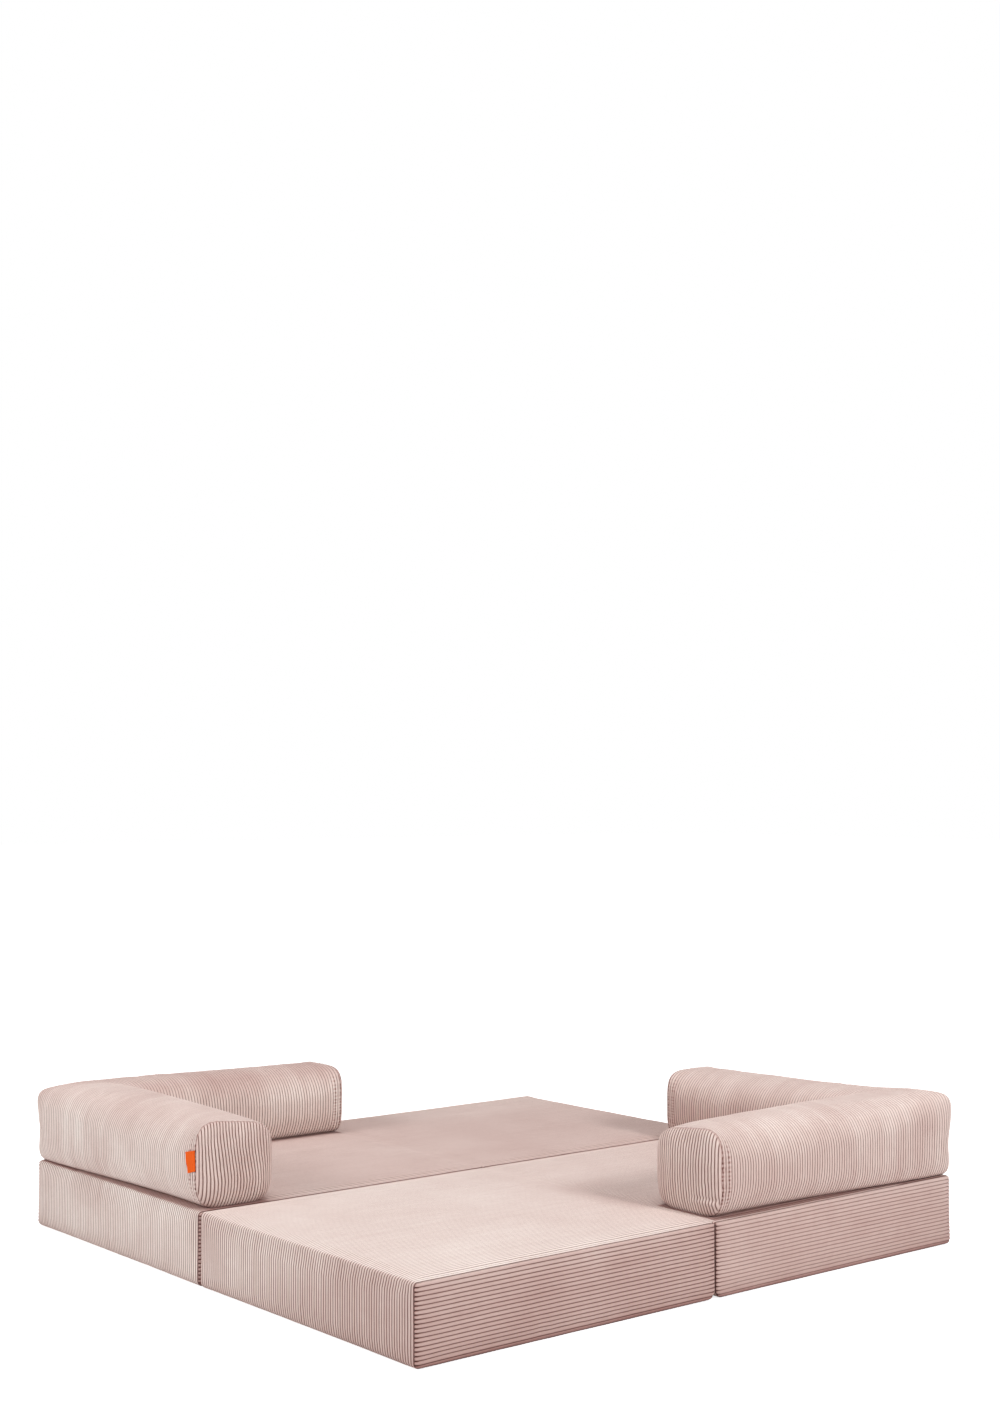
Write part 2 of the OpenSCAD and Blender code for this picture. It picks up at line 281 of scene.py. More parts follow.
def corduroy_material(name, crest, groove_shade_colour):
    """Ribs from the piece's own rib attribute, with painted shade in the grooves, pile fuzz, a patchy nap
    and painted light.
    """
    material, tree = shader(name)
    place = tree.object_place()
    rib, depth = tree.attribute("rib"), tree.attribute("rib_depth")
    nap, mottle = tree.attribute("nap"), tree.attribute("mottle")
    # Painted shade in the gathers beside the caps' seams, in dashes
    gather_shade = tree.from_middle(tree.attribute("gather")).smooth(0.3, 0.8) * tree.attribute("pucker")
    across = tree.from_middle(rib)
    flank = across.smooth(0.35, 0.9)
    valley_shade = across.smooth(0.68, 0.98) * depth.clamp()
    shoulder_shade = flank * depth.clamp()
    # Painted shade darkening the deepened groove ends beside the seams
    notch_shade = flank * (depth - 1.0).clamp()

    # The pile lies differently from rib to rib and from place to place
    split = tree.node("ShaderNodeSeparateXYZ", {"Vector": place})
    along = split.out("X") + split.out("Y") + split.out("Z")
    lanes = tree.node("ShaderNodeCombineXYZ", {"X": rib * 0.45, "Y": along * 2.2, "Z": split.out("Z")})
    streaks = tree.noise(lanes, 1.0, 3.0)
    patches = tree.noise(place, 4.5, 4.0)
    rubbed = tree.noise(place, 55.0, 2.0)
    fuzz = tree.noise(place, 900.0, 2.0)

    # Painted shade between the ribs: the flanks and the grooves take the dark groove colour
    colour = tree.mix_colour(shoulder_shade * 0.35, crest, groove_shade_colour)
    colour = tree.mix_colour(valley_shade * 0.9, colour, groove_shade_colour)
    # The tone: nap and painted light from the nap attribute, random mottling of the pile, and painted
    # shade in the deepened groove ends and in the seam's gathers
    tone = (nap * (1.0 + (streaks - 0.5) * mottle * 0.30) * (1.0 + (patches - 0.5) * mottle * 0.55)
            * (0.95 + rubbed * 0.10) * (0.93 + fuzz * 0.14) * (1.0 - notch_shade * 0.6)
            * (1.0 - gather_shade * rubbed.smooth(0.3, 0.55) * (0.35 + 0.6 * across.smooth(0.3, 0.8))))
    # Painted warm shade: the darker the tone, the warmer the colour, as shade among warm cloth is; the
    # tone holds painted light and shade as well as the pile's own mottling
    shade_warmth = tree.node("ShaderNodeCombineXYZ", {"X": tone ** 0.85, "Y": tone ** 1.3, "Z": tone ** 1.35})
    colour = tree.node("ShaderNodeVectorMath", {0: colour, 1: shade_warmth}, operation="MULTIPLY")
    bump = tree.node("ShaderNodeBump", {"Strength": 0.35, "Distance": 0.0006, "Height": fuzz})
    surface = tree.node("ShaderNodeBsdfPrincipled", {
        "Base Color": colour, "Roughness": 0.92, "Specular IOR Level": 0.1,
        "Sheen Weight": 0.4, "Sheen Roughness": 0.5, "Sheen Tint": (1.0, 0.86, 0.81, 1.0),
        "Normal": bump})
    finish_shader(tree, surface)
    return material


# The crest's colour, and a dark colour that paints shade in the grooves
CORDUROY = corduroy_material("corduroy", linear(226, 204, 197), linear(118, 80, 70))


def woven_material(name, base, dark, threads, sheen=0.1):
    """A flat woven ribbon or tape."""
    material, tree = shader(name)
    place = tree.object_place()
    bands = tree.node("ShaderNodeTexWave", {"Vector": place, "Scale": threads, "Distortion": 0.4,
                                            "Detail": 1.0}, bands_direction="Z").out("Fac")
    picks = tree.node("ShaderNodeTexWave", {"Vector": place, "Scale": threads * 0.8,
                                            "Distortion": 0.4}, bands_direction="DIAGONAL").out("Fac")
    weave = bands * 0.6 + picks * 0.4
    colour = tree.mix_colour(weave, dark, base)
    bump = tree.node("ShaderNodeBump", {"Strength": 0.3, "Distance": 0.0003, "Height": weave})
    surface = tree.node("ShaderNodeBsdfPrincipled", {
        "Base Color": colour, "Roughness": 0.7, "Specular IOR Level": 0.2,
        "Sheen Weight": sheen, "Normal": bump})
    finish_shader(tree, surface)
    return material


TAG_CLOTH = woven_material("tag ribbon", linear(247, 104, 22), linear(226, 84, 12), 420, sheen=0.0)
ZIP_TAPE = woven_material("zip tape", linear(186, 158, 150), linear(150, 122, 114), 500)


def zip_material(name, first, second, speckle, roughness, uneven, metallic):
    """A hard material with a fine speckle of two colours, and rougher where the speckle is light."""
    material, tree = shader(name)
    speckles = tree.noise(tree.object_place(), *speckle)
    surface = tree.node("ShaderNodeBsdfPrincipled", {
        "Base Color": tree.mix_colour(speckles, first, second), "Metallic": metallic,
        "Roughness": roughness + speckles * uneven})
    finish_shader(tree, surface)
    return material


ZIP_METAL = zip_material("satin zip metal", (0.55, 0.54, 0.52, 1), (0.68, 0.67, 0.65, 1),
                         (400.0, 3.0), 0.28, 0.2, 1.0)
ZIP_COIL = zip_material("zip coil", linear(196, 170, 162), linear(172, 144, 136),
                        (300.0, 2.0), 0.4, 0.0, 0.0)


# Geometry trees

def new_group(name, flow, inputs):
    """A geometry tree with its flow of geometry in and out, its other inputs, and its input node."""
    group = bpy.data.node_groups.new(name, "GeometryNodeTree")
    for label, kind, value in ((flow, "Geometry", None), *inputs):
        socket = group.interface.new_socket(label, in_out="INPUT", socket_type=f"NodeSocket{kind}")
        if value is not None:
            socket.default_value = value
    group.interface.new_socket(flow, in_out="OUTPUT", socket_type="NodeSocketGeometry")
    tree = Tree(group)
    return group, tree, tree.node("NodeGroupInput")


def ribs_tree():
    """Presses grooves into a smooth cover between its ribs, which sway, and lets the cloth give."""
    group, tree, given = new_group("corduroy ribs", "Cover", (
        ("Rib Height", "Float", RIB_HEIGHT), ("Rib Roundness", "Float", 3.0),
        ("Give", "Float", 1.5 * MM), ("Give Size", "Float", 5.0), ("Sway", "Float", 3 * MM),
        ("Seed", "Float", 0.0), ("Cloth", "Material", None)))
    place = tree.node("GeometryNodeInputPosition")
    normal = tree.node("GeometryNodeInputNormal")

    soft = tree.node("ShaderNodeTexNoise", {"Vector": place, "W": given.out("Seed"),
                                            "Scale": given.out("Give Size"), "Detail": 2.0},
                     noise_dimensions="4D")
    looseness = tree.point_value("loose")
    sink = soft * given.out("Give") * looseness * -1.0
    drift = tree.noise(place, 16.0, 2.0)
    wander = tree.node("ShaderNodeVectorMath", {0: drift.out("Color"), 1: (0.5, 0.5, 0.5)},
                       operation="SUBTRACT")
    aside = tree.scaled(wander, given.out("Sway") * looseness)
    both = tree.node("ShaderNodeVectorMath", {0: tree.scaled(normal, sink), 1: aside}, operation="ADD")
    given_way = tree.node("GeometryNodeSetPosition", {"Geometry": given.out("Cover"), "Offset": both})

    across = tree.from_middle(tree.point_value("rib"))
    press = 1.0 - (1.0 - across ** given.out("Rib Roundness")) ** 0.6
    uneven = 0.8 + tree.noise(place, 30.0, 2.0) * 0.4
    offset = press * given.out("Rib Height") * tree.point_value("rib_depth") * uneven * -1.0
    pressed = tree.node("GeometryNodeSetPosition", {
        "Geometry": given_way, "Offset": tree.scaled(normal, offset)})
    tree.node("NodeGroupOutput", {0: tree.clad(pressed, given.out("Cloth"))})
    return group


RIBS = ribs_tree()


def keep_result(piece, modifier):
    """Makes what a modifier does to a piece its plain mesh."""
    bpy.context.view_layer.update()
    depsgraph = bpy.context.evaluated_depsgraph_get()
    mesh = bpy.data.meshes.new_from_object(piece.evaluated_get(depsgraph), depsgraph=depsgraph,
                                           preserve_all_data_layers=True)
    piece.modifiers.remove(modifier)
    old = piece.data
    piece.data = mesh
    mesh.name = piece.name
    bpy.data.meshes.remove(old)


def applied(piece, group, values):
    """Runs a geometry tree on a piece, with values for its named inputs."""
    modifier = piece.modifiers.new("tree", "NODES")
    modifier.node_group = group
    for item in group.interface.items_tree:
        if item.name in values:
            modifier[item.identifier] = values[item.name]
    keep_result(piece, modifier)


def ribbed(piece, give, give_size, sway, seed):
    """Presses the ribs into a smooth corduroy cover and lets its cloth give and its ribs sway."""
    applied(piece, RIBS, {"Rib Height": RIB_HEIGHT, "Rib Roundness": RIB_ROUNDNESS, "Give": give,
                          "Give Size": give_size, "Sway": sway, "Seed": seed, "Cloth": CORDUROY})


# Mesh helpers

def clamped(value):
    """A value held between 0 and 1."""
    return np.clip(value, 0, 1)


def fade(distance, reach):
    """1 at no distance, falling away over a reach in millimetres."""
    return np.exp(-distance / (reach * MM))


def edge_step(depth, r):
    """How far a rounded edge has stepped in at a depth below the face it leads to."""
    return np.where(depth >= r, 0.0, r - np.sqrt(np.maximum(r * r - (r - depth) ** 2, 0.0)))


def rib_stops(count):
    """Places across a number of whole ribs, in ribs, that fall on each crest and in each groove."""
    return np.array([k + 0.5 + s for k in range(count) for s in RIB_STOPS] + [count])


def new_piece(name, points, faces, attributes, weld=False):
    """A mesh piece from points, faces and one value a point for each attribute, facing outwards."""
    mesh = bpy.data.meshes.new(name)
    mesh.from_pydata(points.tolist(), [], faces)
    for key, values in attributes.items():
        layer = mesh.attributes.new(key, "FLOAT", "POINT")
        layer.data.foreach_set("value", np.asarray(values, np.float32))
    work = bmesh.new()
    work.from_mesh(mesh)
    if weld:
        bmesh.ops.remove_doubles(work, verts=work.verts, dist=WELD)
    bmesh.ops.recalc_face_normals(work, faces=work.faces)
    work.to_mesh(mesh)
    work.free()
    mesh.polygons.foreach_set("use_smooth", [True] * len(mesh.polygons))
    return placed(name, mesh)


def grid_faces(rows, columns, closed_rows=False, closed_columns=False):
    """Quads of a grid whose points run along columns first."""
    i, j = np.meshgrid(np.arange(rows if closed_rows else rows - 1),
                       np.arange(columns if closed_columns else columns - 1), indexing="ij")
    i2, j2 = (i + 1) % rows, (j + 1) % columns
    quads = np.stack([i * columns + j, i2 * columns + j, i2 * columns + j2, i * columns + j2], -1)
    return quads.reshape(-1, 4).tolist()


def grid_edge(rows, columns):
    """The points round a grid's edge, as one closed ring."""
    last = (rows - 1) * columns
    return [*range(columns), *range(2 * columns - 1, rows * columns, columns),
            *range(last + columns - 2, last - 1, -1), *range(last - columns, 0, -columns)]


def band(first, second):
    """Quads between two closed rings of as many points each."""
    return list(zip(first, first[1:] + first[:1], second[1:] + second[:1], second))


def flipped(faces):
    """The faces turned over, each from the same first corner."""
    return [(face[0], *face[:0:-1]) for face in faces]


def tucked_in(points, ring, tuck):
    """The points and a ring of tucked ones, the quads from the edge ring to it, and the new ring."""
    tuck_ring = list(range(len(points), len(points) + len(ring)))
    return np.concatenate([points, tuck]), band(ring, tuck_ring), tuck_ring


def with_tuck(values, ring):
    """A grid's values, and 0 for the ring that is tucked in behind its edge."""
    return np.concatenate([np.ravel(values), np.zeros(len(ring))])


def bridge(points, ring_a, ring_b):
    """Triangles that join two closed rings lying close together and running the same way."""
    start = int(np.argmin(np.linalg.norm(points[ring_b] - points[ring_a[0]], axis=1)))
    ring_b = ring_b[start:] + ring_b[:start]
    n, m = len(ring_a), len(ring_b)
    i = j = 0
    faces = []
    while i < n or j < m:
        a, b = ring_a[i % n], ring_b[j % m]
        next_a, next_b = ring_a[(i + 1) % n], ring_b[(j + 1) % m]
        step_a = np.linalg.norm(points[next_a] - points[b])
        step_b = np.linalg.norm(points[next_b] - points[a])
        if j >= m or (i < n and step_a <= step_b):
            faces.append((a, next_a, b))
            i += 1
        else:
            faces.append((a, next_b, b))
            j += 1
    return faces


# Cloth give

def even_mesh(name, solids, voxel):
    """A closed mesh of even squares round the solids together, as an object."""
    points, faces = [], []
    for solid_points, solid_faces in solids:
        faces += [[v + len(points) for v in face] for face in solid_faces]
        points += list(solid_points)
    whole = new_piece(name, np.array(points), faces, {}, weld=True)
    remesh = whole.modifiers.new("even squares", "REMESH")
    remesh.mode = "VOXEL"
    remesh.voxel_size = voxel
    keep_result(whole, remesh)
    return whole


def positions(mesh):
    flat = np.empty(len(mesh.vertices) * 3, np.float32)
    mesh.vertices.foreach_get("co", flat)
    return flat.reshape(-1, 3).astype(float)


def weigh(piece, name, weights):
    """A vertex group with a weight a point, in steps of a twentieth."""
    group = piece.vertex_groups.new(name=name)
    steps = np.round(weights * 20) / 20
    for step in np.unique(steps):
        if step > 0:
            group.add(np.where(steps == step)[0].tolist(), float(step), "REPLACE")
    return name


def cloth_give(name, solids, voxel, held, slack, most):
    """
    Lets the cloth round a filling swell and gather between its seams in a cloth simulation.
    Returns places of the cloth and how far each moves, capped at the most that it may.
    """
    piece = even_mesh(name, solids, voxel)
    start = positions(piece.data)
    cloth = piece.modifiers.new("cloth", "CLOTH")
    settings = cloth.settings
    settings.quality = 4
    settings.mass = 0.3
    settings.tension_stiffness = settings.compression_stiffness = CLOTH_STIFFNESS
    settings.shear_stiffness = 4
    settings.bending_stiffness = CLOTH_BENDING
    settings.air_damping = 2
    settings.use_pressure = True
    settings.uniform_pressure_force = CLOTH_PRESSURE
    settings.effector_weights.gravity = 0
    settings.vertex_group_mass = weigh(piece, "held", held(start))
    settings.vertex_group_shrink = weigh(piece, "slack", slack(start))
    settings.shrink_min = -LEAST_SLACK
    settings.shrink_max = -MOST_SLACK
    for step in range(1, CLOTH_STEPS + 1):
        bpy.context.scene.frame_set(step)
    moved = positions(piece.evaluated_get(bpy.context.evaluated_depsgraph_get()).data) - start
    bpy.context.scene.frame_set(1)
    bpy.data.objects.remove(piece)
    far = np.linalg.norm(moved, axis=1)[:, None] + 1e-9
    return start, moved * (most * np.tanh(far / most) / far)


def with_give(points, give, spread):
    """Points moved as the simulated cloth nearest to them moved."""
    places, moved = give
    if len(places) < 2:
        return points
    tree = KDTree(len(places))
    for k, place in enumerate(places):
        tree.insert(place, k)
    tree.balance()
    shift = np.zeros_like(points)
    for k, point in enumerate(points):
        near = tree.find_n(point, 6)
        weights = np.exp(-np.array([(far / spread) ** 2 for _, _, far in near])) + 1e-6
        shift[k] = weights @ moved[[found for _, found, _ in near]] / weights.sum()
    return points + shift


# Panels

# Where each panel stands: how its own frame (fold side at x 0, outer long side at y 0) is placed
def place_right(p):
    return p + np.array([HALF_FOLD_GAP, -HALF_UNIT_GAP - PANEL_DEP, 0.0])


def place_near(p):
    return place_right(p) * np.array([-1.0, 1.0, 1.0])


def turned(place):
    return lambda p: place(p) * np.array([-1.0, -1.0, 1.0])


# The nap and painted light of both tops of a unit where they meet at the fold, and the nap of a panel's
# underside
FOLD_NAPS_AND_LIGHT = {"front": 1.09, "rear": 0.92}
UNDERSIDE_NAP = 1.0

# Each panel's placing and seed; the nap and painted light of its top in the middle, at the fold and along
# its outer long side; the nap and painted light of its end beside that side and beside the other unit; the
# nap and painted light of its long sides and the relief of their ribs; and how far its top stands up
# beside the other unit
PANELS = {
    "near_panel": dict(place=place_near, seed=1.0, middle=1.17, fold=FOLD_NAPS_AND_LIGHT["front"],
                       outer_side=1.20, outer_end=0.94, inner_end=1.15, sides=0.74, relief=1.0,
                       lift=2.6 * MM),
    "right_panel": dict(place=place_right, seed=2.0, middle=1.05, fold=FOLD_NAPS_AND_LIGHT["front"],
                        outer_side=1.05, outer_end=1.00, inner_end=1.00, sides=0.80, relief=0.7,
                        lift=0),
    "rear_panel": dict(place=turned(place_near), seed=3.0, middle=0.90, fold=FOLD_NAPS_AND_LIGHT["rear"],
                       outer_side=1.00, outer_end=0.95, inner_end=0.95, sides=0.86, relief=0.8,
                       lift=0),
    "left_panel": dict(place=turned(place_right), seed=4.0, middle=0.95, fold=FOLD_NAPS_AND_LIGHT["rear"],
                       outer_side=0.95, outer_end=1.20, inner_end=1.27, sides=0.86, relief=0.8,
                       lift=0),
}


def side_profile():
    """The wrapped sheet's way round a panel, seen from its long side, with its outward normals."""
    out, normals = [], []

    def straight(a, b, count, normal):
        for t in np.linspace(0, 1, count + 1)[1:-1]:
            out.append(np.array(a) + (np.array(b) - np.array(a)) * t)
            normals.append(normal)

    def corner(cx, cz, r, first, count):
        for k in range(count + 1):
            a = math.radians(first - 90 * k / count)
            out.append(np.array([cx + r * math.cos(a), cz + r * math.sin(a)]))
            normals.append((math.cos(a), math.sin(a)))

    corner(FOLD_TOP_R, PANEL_H - FOLD_TOP_R, FOLD_TOP_R, 180, 4)
    straight((FOLD_TOP_R, PANEL_H), (PANEL_LEN - END_TOP_R, PANEL_H), 30, (0, 1))
    corner(PANEL_LEN - END_TOP_R, PANEL_H - END_TOP_R, END_TOP_R, 90, 7)
    straight((PANEL_LEN, PANEL_H - END_TOP_R), (PANEL_LEN, BOTTOM_R), 8, (1, 0))
    corner(PANEL_LEN - BOTTOM_R, BOTTOM_R, BOTTOM_R, 0, 6)
    straight((PANEL_LEN - BOTTOM_R, 0), (FOLD_BOTTOM_R, 0), 16, (0, -1))
    corner(FOLD_BOTTOM_R, FOLD_BOTTOM_R, FOLD_BOTTOM_R, 270, 6)
    straight((0, FOLD_BOTTOM_R), (0, PANEL_H - FOLD_TOP_R), 8, (-1, 0))
    return np.array(out), np.array(normals)


def seam_place(r):
    """How deep the tucked cloth at a seam lies behind the long side and behind the sheet's face."""
    inner = r - SEAM_DEPTH
    return r - inner * math.cos(SEAM_ANGLE), r - inner * math.sin(SEAM_ANGLE)


def across_sheet():
    """Places across the wrapped sheet from seam to seam: y, inset, rib, and 1 where tucked in."""
    first = SEAM_ANGLE + SEAM_HALF_ANGLE
    turn = math.pi / 2 - first
    arcs = (LONG_EDGE_R * turn, UNIT_EDGE_R * turn)
    flat = PANEL_DEP - LONG_EDGE_R - UNIT_EDGE_R
    total = arcs[0] + flat + arcs[1]
    count = round(total / RIB_W)
    ribs = rib_stops(count)
    ys, insets = [], []
    for s in ribs * total / count:
        if s < arcs[0]:
            a = first + s / LONG_EDGE_R
            ys.append(LONG_EDGE_R * (1 - math.cos(a)))
            insets.append(LONG_EDGE_R * (1 - math.sin(a)))
        elif s <= arcs[0] + flat:
            ys.append(LONG_EDGE_R + s - arcs[0])
            insets.append(0.0)
        else:
            a = math.pi / 2 - (s - arcs[0] - flat) / UNIT_EDGE_R
            ys.append(PANEL_DEP - UNIT_EDGE_R * (1 - math.cos(a)))
            insets.append(UNIT_EDGE_R * (1 - math.sin(a)))
    from_side, from_face = seam_place(LONG_EDGE_R)
    ys = [from_side] + ys
    insets = [from_face] + insets
    from_side, from_face = seam_place(UNIT_EDGE_R)
    ys.append(PANEL_DEP - from_side)
    insets.append(from_face)
    rib = np.concatenate([[0], ribs, [count]])
    tucked = np.concatenate([[1], np.zeros(len(ribs)), [1]])
    return np.array(ys), np.array(insets), rib, tucked


def crown(x, y):
    """The top's rise above its edges; it stays full at the fold."""
    along = clamped((x - PANEL_LEN / 2) / (PANEL_LEN / 2))
    side = np.abs(y - PANEL_DEP / 2) / (PANEL_DEP / 2)
    return TOP_CROWN * (1 - along ** CROWN_POWER) * (1 - side ** CROWN_POWER)


def wrapped_sheet():
    """Points, faces, attributes and the two edge rings of the sheet that wraps a panel."""
    profile, normals = side_profile()
    ys, insets, rib, tucked = across_sheet()
    x = profile[:, :1] - normals[:, :1] * insets
    z = profile[:, 1:] - normals[:, 1:] * insets
    y = np.broadcast_to(ys, x.shape)
    t = ys / PANEL_DEP
    x = x - np.maximum(normals[:, :1], 0) * OUTER_DRAW * 4 * t * (1 - t)
    x = x + np.maximum(-normals[:, :1], 0) * INNER_DRAW * 4 * t * (1 - t)
    z = z + np.maximum(normals[:, 1:], 0) * crown(x, y)
    points = np.stack([x, y, z], -1).reshape(-1, 3)
    rows, columns = x.shape
    faces = grid_faces(rows, columns, closed_rows=True)
    end = clamped(normals[:, :1] ** 2 / 0.35)
    top = np.where(normals[:, 1:] > 0, 1 - end, 0)
    free = 1 - tucked
    loose = (1 - 0.9 * np.maximum(-normals[:, :1], 0)) * free * clamped(1 - insets / (4 * MM))
    attributes = {"rib": rib, "rib_depth": free, "loose": loose, "top": top, "end": end,
                  "to_seam": np.minimum(ys - ys[1], ys[-2] - ys) * free}
    attributes = {key: np.broadcast_to(value, x.shape).ravel() for key, value in attributes.items()}
    rings = ([r * columns for r in range(rows)], [r * columns + columns - 1 for r in range(rows)])
    return points, faces, attributes, rings


def strip_columns():
    """Places along a long side strip in shares of its length, closer together at its two ends."""
    near = np.array([0, 1.5, 4, 8, 13, 20, 30, 42]) * MM / PANEL_LEN
    middle = np.linspace(near[-1], 1 - near[-1], 30)[1:-1]
    return np.concatenate([near, middle, 1 - near[::-1]])


def long_side(r, draw, pleat):
    """A long side strip standing on y 0 and facing -Y, with its edge ring."""
    edge = r * (1 - math.sin(SEAM_ANGLE - SEAM_HALF_ANGLE))
    low, high = edge, PANEL_H - edge
    count = int((high - low) / RIB_W)
    ribs = rib_stops(count)
    z = low + (high - low) * ribs / count

    def reach(radius_low, radius_high):
        """How far a side has drawn in at each height because of its rounded corners."""
        step = np.zeros_like(z)
        for radius, depth in ((radius_low, z), (radius_high, PANEL_H - z)):
            inner = radius - edge
            gap = np.clip(radius - depth, 0, inner)
            step += inner - np.sqrt(np.maximum(inner ** 2 - gap ** 2, 0))
        return step

    left = edge + reach(FOLD_BOTTOM_R, FOLD_TOP_R)
    right = PANEL_LEN - edge - reach(BOTTOM_R, END_TOP_R)
    share = strip_columns()
    x = left[:, None] + (right - left)[:, None] * share
    zz = np.broadcast_to(z[:, None], x.shape)

    def corner_distance():
        """Distance in from the panel's outline, its corners' rounding included."""
        d = np.minimum.reduce([x, PANEL_LEN - x, zz, PANEL_H - zz])
        for radius, sx, sz in ((FOLD_BOTTOM_R, -1, -1), (BOTTOM_R, 1, -1),
                               (FOLD_TOP_R, -1, 1), (END_TOP_R, 1, 1)):
            cx = PANEL_LEN - radius if sx > 0 else radius
            cz = PANEL_H - radius if sz > 0 else radius
            inside = ((x - cx) * sx > 0) & ((zz - cz) * sz > 0)
            d = np.where(inside, radius - np.hypot(x - cx, zz - cz), d)
        return d

    distance = corner_distance()
    t = x / PANEL_LEN
    y = edge_step(distance, r) + draw * 4 * t * (1 - t)
    ends = np.minimum(x - left[:, None], right[:, None] - x)
    depth = 1 + 2.2 * fade(ends, 7)
    if pleat:
        inside_z = clamped((ZIP_PLEAT_W / 2 + PLEAT_SLOPE - np.abs(zz - ZIP_Z)) / PLEAT_SLOPE)
        start = (PANEL_LEN - ZIP_LEN) / 2
        inside_x = clamped((np.minimum(x - start, PANEL_LEN - start - x) + 6 * MM) / (6 * MM))
        pleated = inside_z * inside_x
        y = y + pleated * ZIP_PLEAT_D
        depth = depth * (1 - pleated)
    points = np.stack([x, y, zz], -1).reshape(-1, 3)
    rows, columns = x.shape
    # Quads that face -Y: along x first, then up
    faces = [face[::-1] for face in grid_faces(rows, columns)]
    ring = grid_edge(rows, columns)
    centre = np.array([PANEL_LEN / 2, 0, PANEL_H / 2])
    around = points[ring]
    following, before = np.roll(around, -1, 0), np.roll(around, 1, 0)
    along = following - before
    inward = np.stack([-along[:, 2], np.zeros(len(ring)), along[:, 0]], -1)
    inward /= np.linalg.norm(inward, axis=1)[:, None] + 1e-12
    inward *= np.sign(np.sum(inward * (centre - around), axis=1))[:, None]
    from_side, from_face = seam_place(r)
    tuck = around + inward * (from_face - edge)
    tuck[:, 1] = np.maximum(around[:, 1], from_side)
    points, quads, tuck_ring = tucked_in(points, ring, tuck)
    faces += flipped(quads)
    all_ribs = np.repeat(ribs, columns)
    from_top = np.maximum(distance - edge, 0) + 2.5 * MM
    attributes = {
        "rib": np.concatenate([all_ribs, all_ribs[ring]]),
        "rib_depth": with_tuck(depth, ring),
        "loose": with_tuck(clamped(distance / (60 * MM)), ring),
        "to_seam": with_tuck(np.minimum(ends, from_top), ring),
        "top": np.zeros(len(points)), "end": np.zeros(len(points)),
    }
    return points, faces, attributes, tuck_ring


def panel_shell():
    """The whole smooth cover of a panel in its own frame, as one closed mesh."""
    sheet_points, faces, attributes, sheet_rings = wrapped_sheet()
    parts, layers = [sheet_points], {k: [v] for k, v in attributes.items()}
    total = len(sheet_points)
    for side, (r, draw, pleat) in enumerate(((LONG_EDGE_R, OUTER_DRAW, False),
                                             (UNIT_EDGE_R, INNER_DRAW, True))):
        points, strip_faces, values, ring = long_side(r, draw, pleat)
        if side:
            points = points * np.array([1, -1, 1]) + np.array([0, PANEL_DEP, 0])
            strip_faces = [face[::-1] for face in strip_faces]
        parts.append(points)
        for key, value in values.items():
            layers[key].append(value)
        faces += [tuple(k + total for k in face) for face in strip_faces]
        faces += bridge(np.concatenate(parts), sheet_rings[side], [k + total for k in ring[::-1]])
        total += len(points)
    return np.concatenate(parts), faces, {k: np.concatenate(v) for k, v in layers.items()}


def panel_held(p):
    """How firmly each place on a panel's cloth stays: seams, underside and the sides between panels."""
    x, y, z = p.T
    inward = np.minimum.reduce([x, PANEL_LEN - x, z, PANEL_H - z])
    across = np.minimum(y, PANEL_DEP - y)
    seam = clamped(1.6 - np.maximum(inward, across) / (9 * MM))
    underside = clamped(2 - z / (10 * MM))
    between = clamped(2 - np.minimum(x, PANEL_DEP - y) / (6 * MM))
    return np.maximum.reduce([seam, underside, between, np.full(len(p), 0.12)])


def panel_slack(p):
    """How much of its slack each place on a panel's cloth has: most beside the outer seams."""
    x, y, z = p.T
    inward = np.minimum.reduce([PANEL_LEN - x, z, PANEL_H - z])
    across = np.minimum(y, PANEL_DEP - y)
    return clamped(1 - np.maximum(inward, across) / (60 * MM))


def snug(points):
    """Swells the cover towards its neighbours, at the fold and above the zip beside the other unit."""
    x, y, z = points.T
    fold = SNUG * clamped(1 - x / (20 * MM))
    above_zip = clamped((z - 90 * MM) / (25 * MM))
    beside = SNUG * clamped(1 - (PANEL_DEP - y) / (20 * MM)) * above_zip
    return np.stack([x - fold, y + beside, z], -1)


def settled_panel():
    """The smooth cover of a panel after its cloth has settled."""
    points, faces, attributes = panel_shell()
    give = cloth_give("panel cloth", [(points, faces)], voxel=14 * MM, held=panel_held,
                      slack=panel_slack, most=4 * MM)
    return snug(with_give(points, give, spread=9 * MM)), faces, attributes


def painted_shade_beside_bolster(points):
    """How strongly painted contact shadow darkens a base panel's top beside the foot of its bolster."""
    x, y, z = points.T
    reach = np.minimum(np.abs(y - BOLSTER_W / 2), np.abs(x - (PANEL_LEN - BOLSTER_W / 2)))
    away = np.maximum(reach - (BOLSTER_W / 2 - 20 * MM), 0)
    return (0.5 * fade(away, 5) + 0.1 * fade(away, 30)) * (z > PANEL_H - 4 * MM)


# How much a painted soft shadow darkens a front piece beside the end of the right bolster's long arm, and
# how far along in metres
PAINTED_CAP_SHADOWS = {"near_panel": (0.13, 0.09), "front_fold_cloth": (0.12, 0.09), "right_panel": (0.09, 0.18)}


def painted_cap_shadow(name, x, y):
    """What is left of a piece's colour under a painted soft shadow beside the end of the right bolster's
    long arm, 1 elsewhere.
    """
    shade, reach = PAINTED_CAP_SHADOWS.get(name, (0, 1))
    aside = np.maximum(y - 0.5, 0) / 0.11 + np.maximum(0.27 - y, 0) / 0.05
    return 1 - shade * np.exp(-(x / reach) ** 4 - aside ** 2)


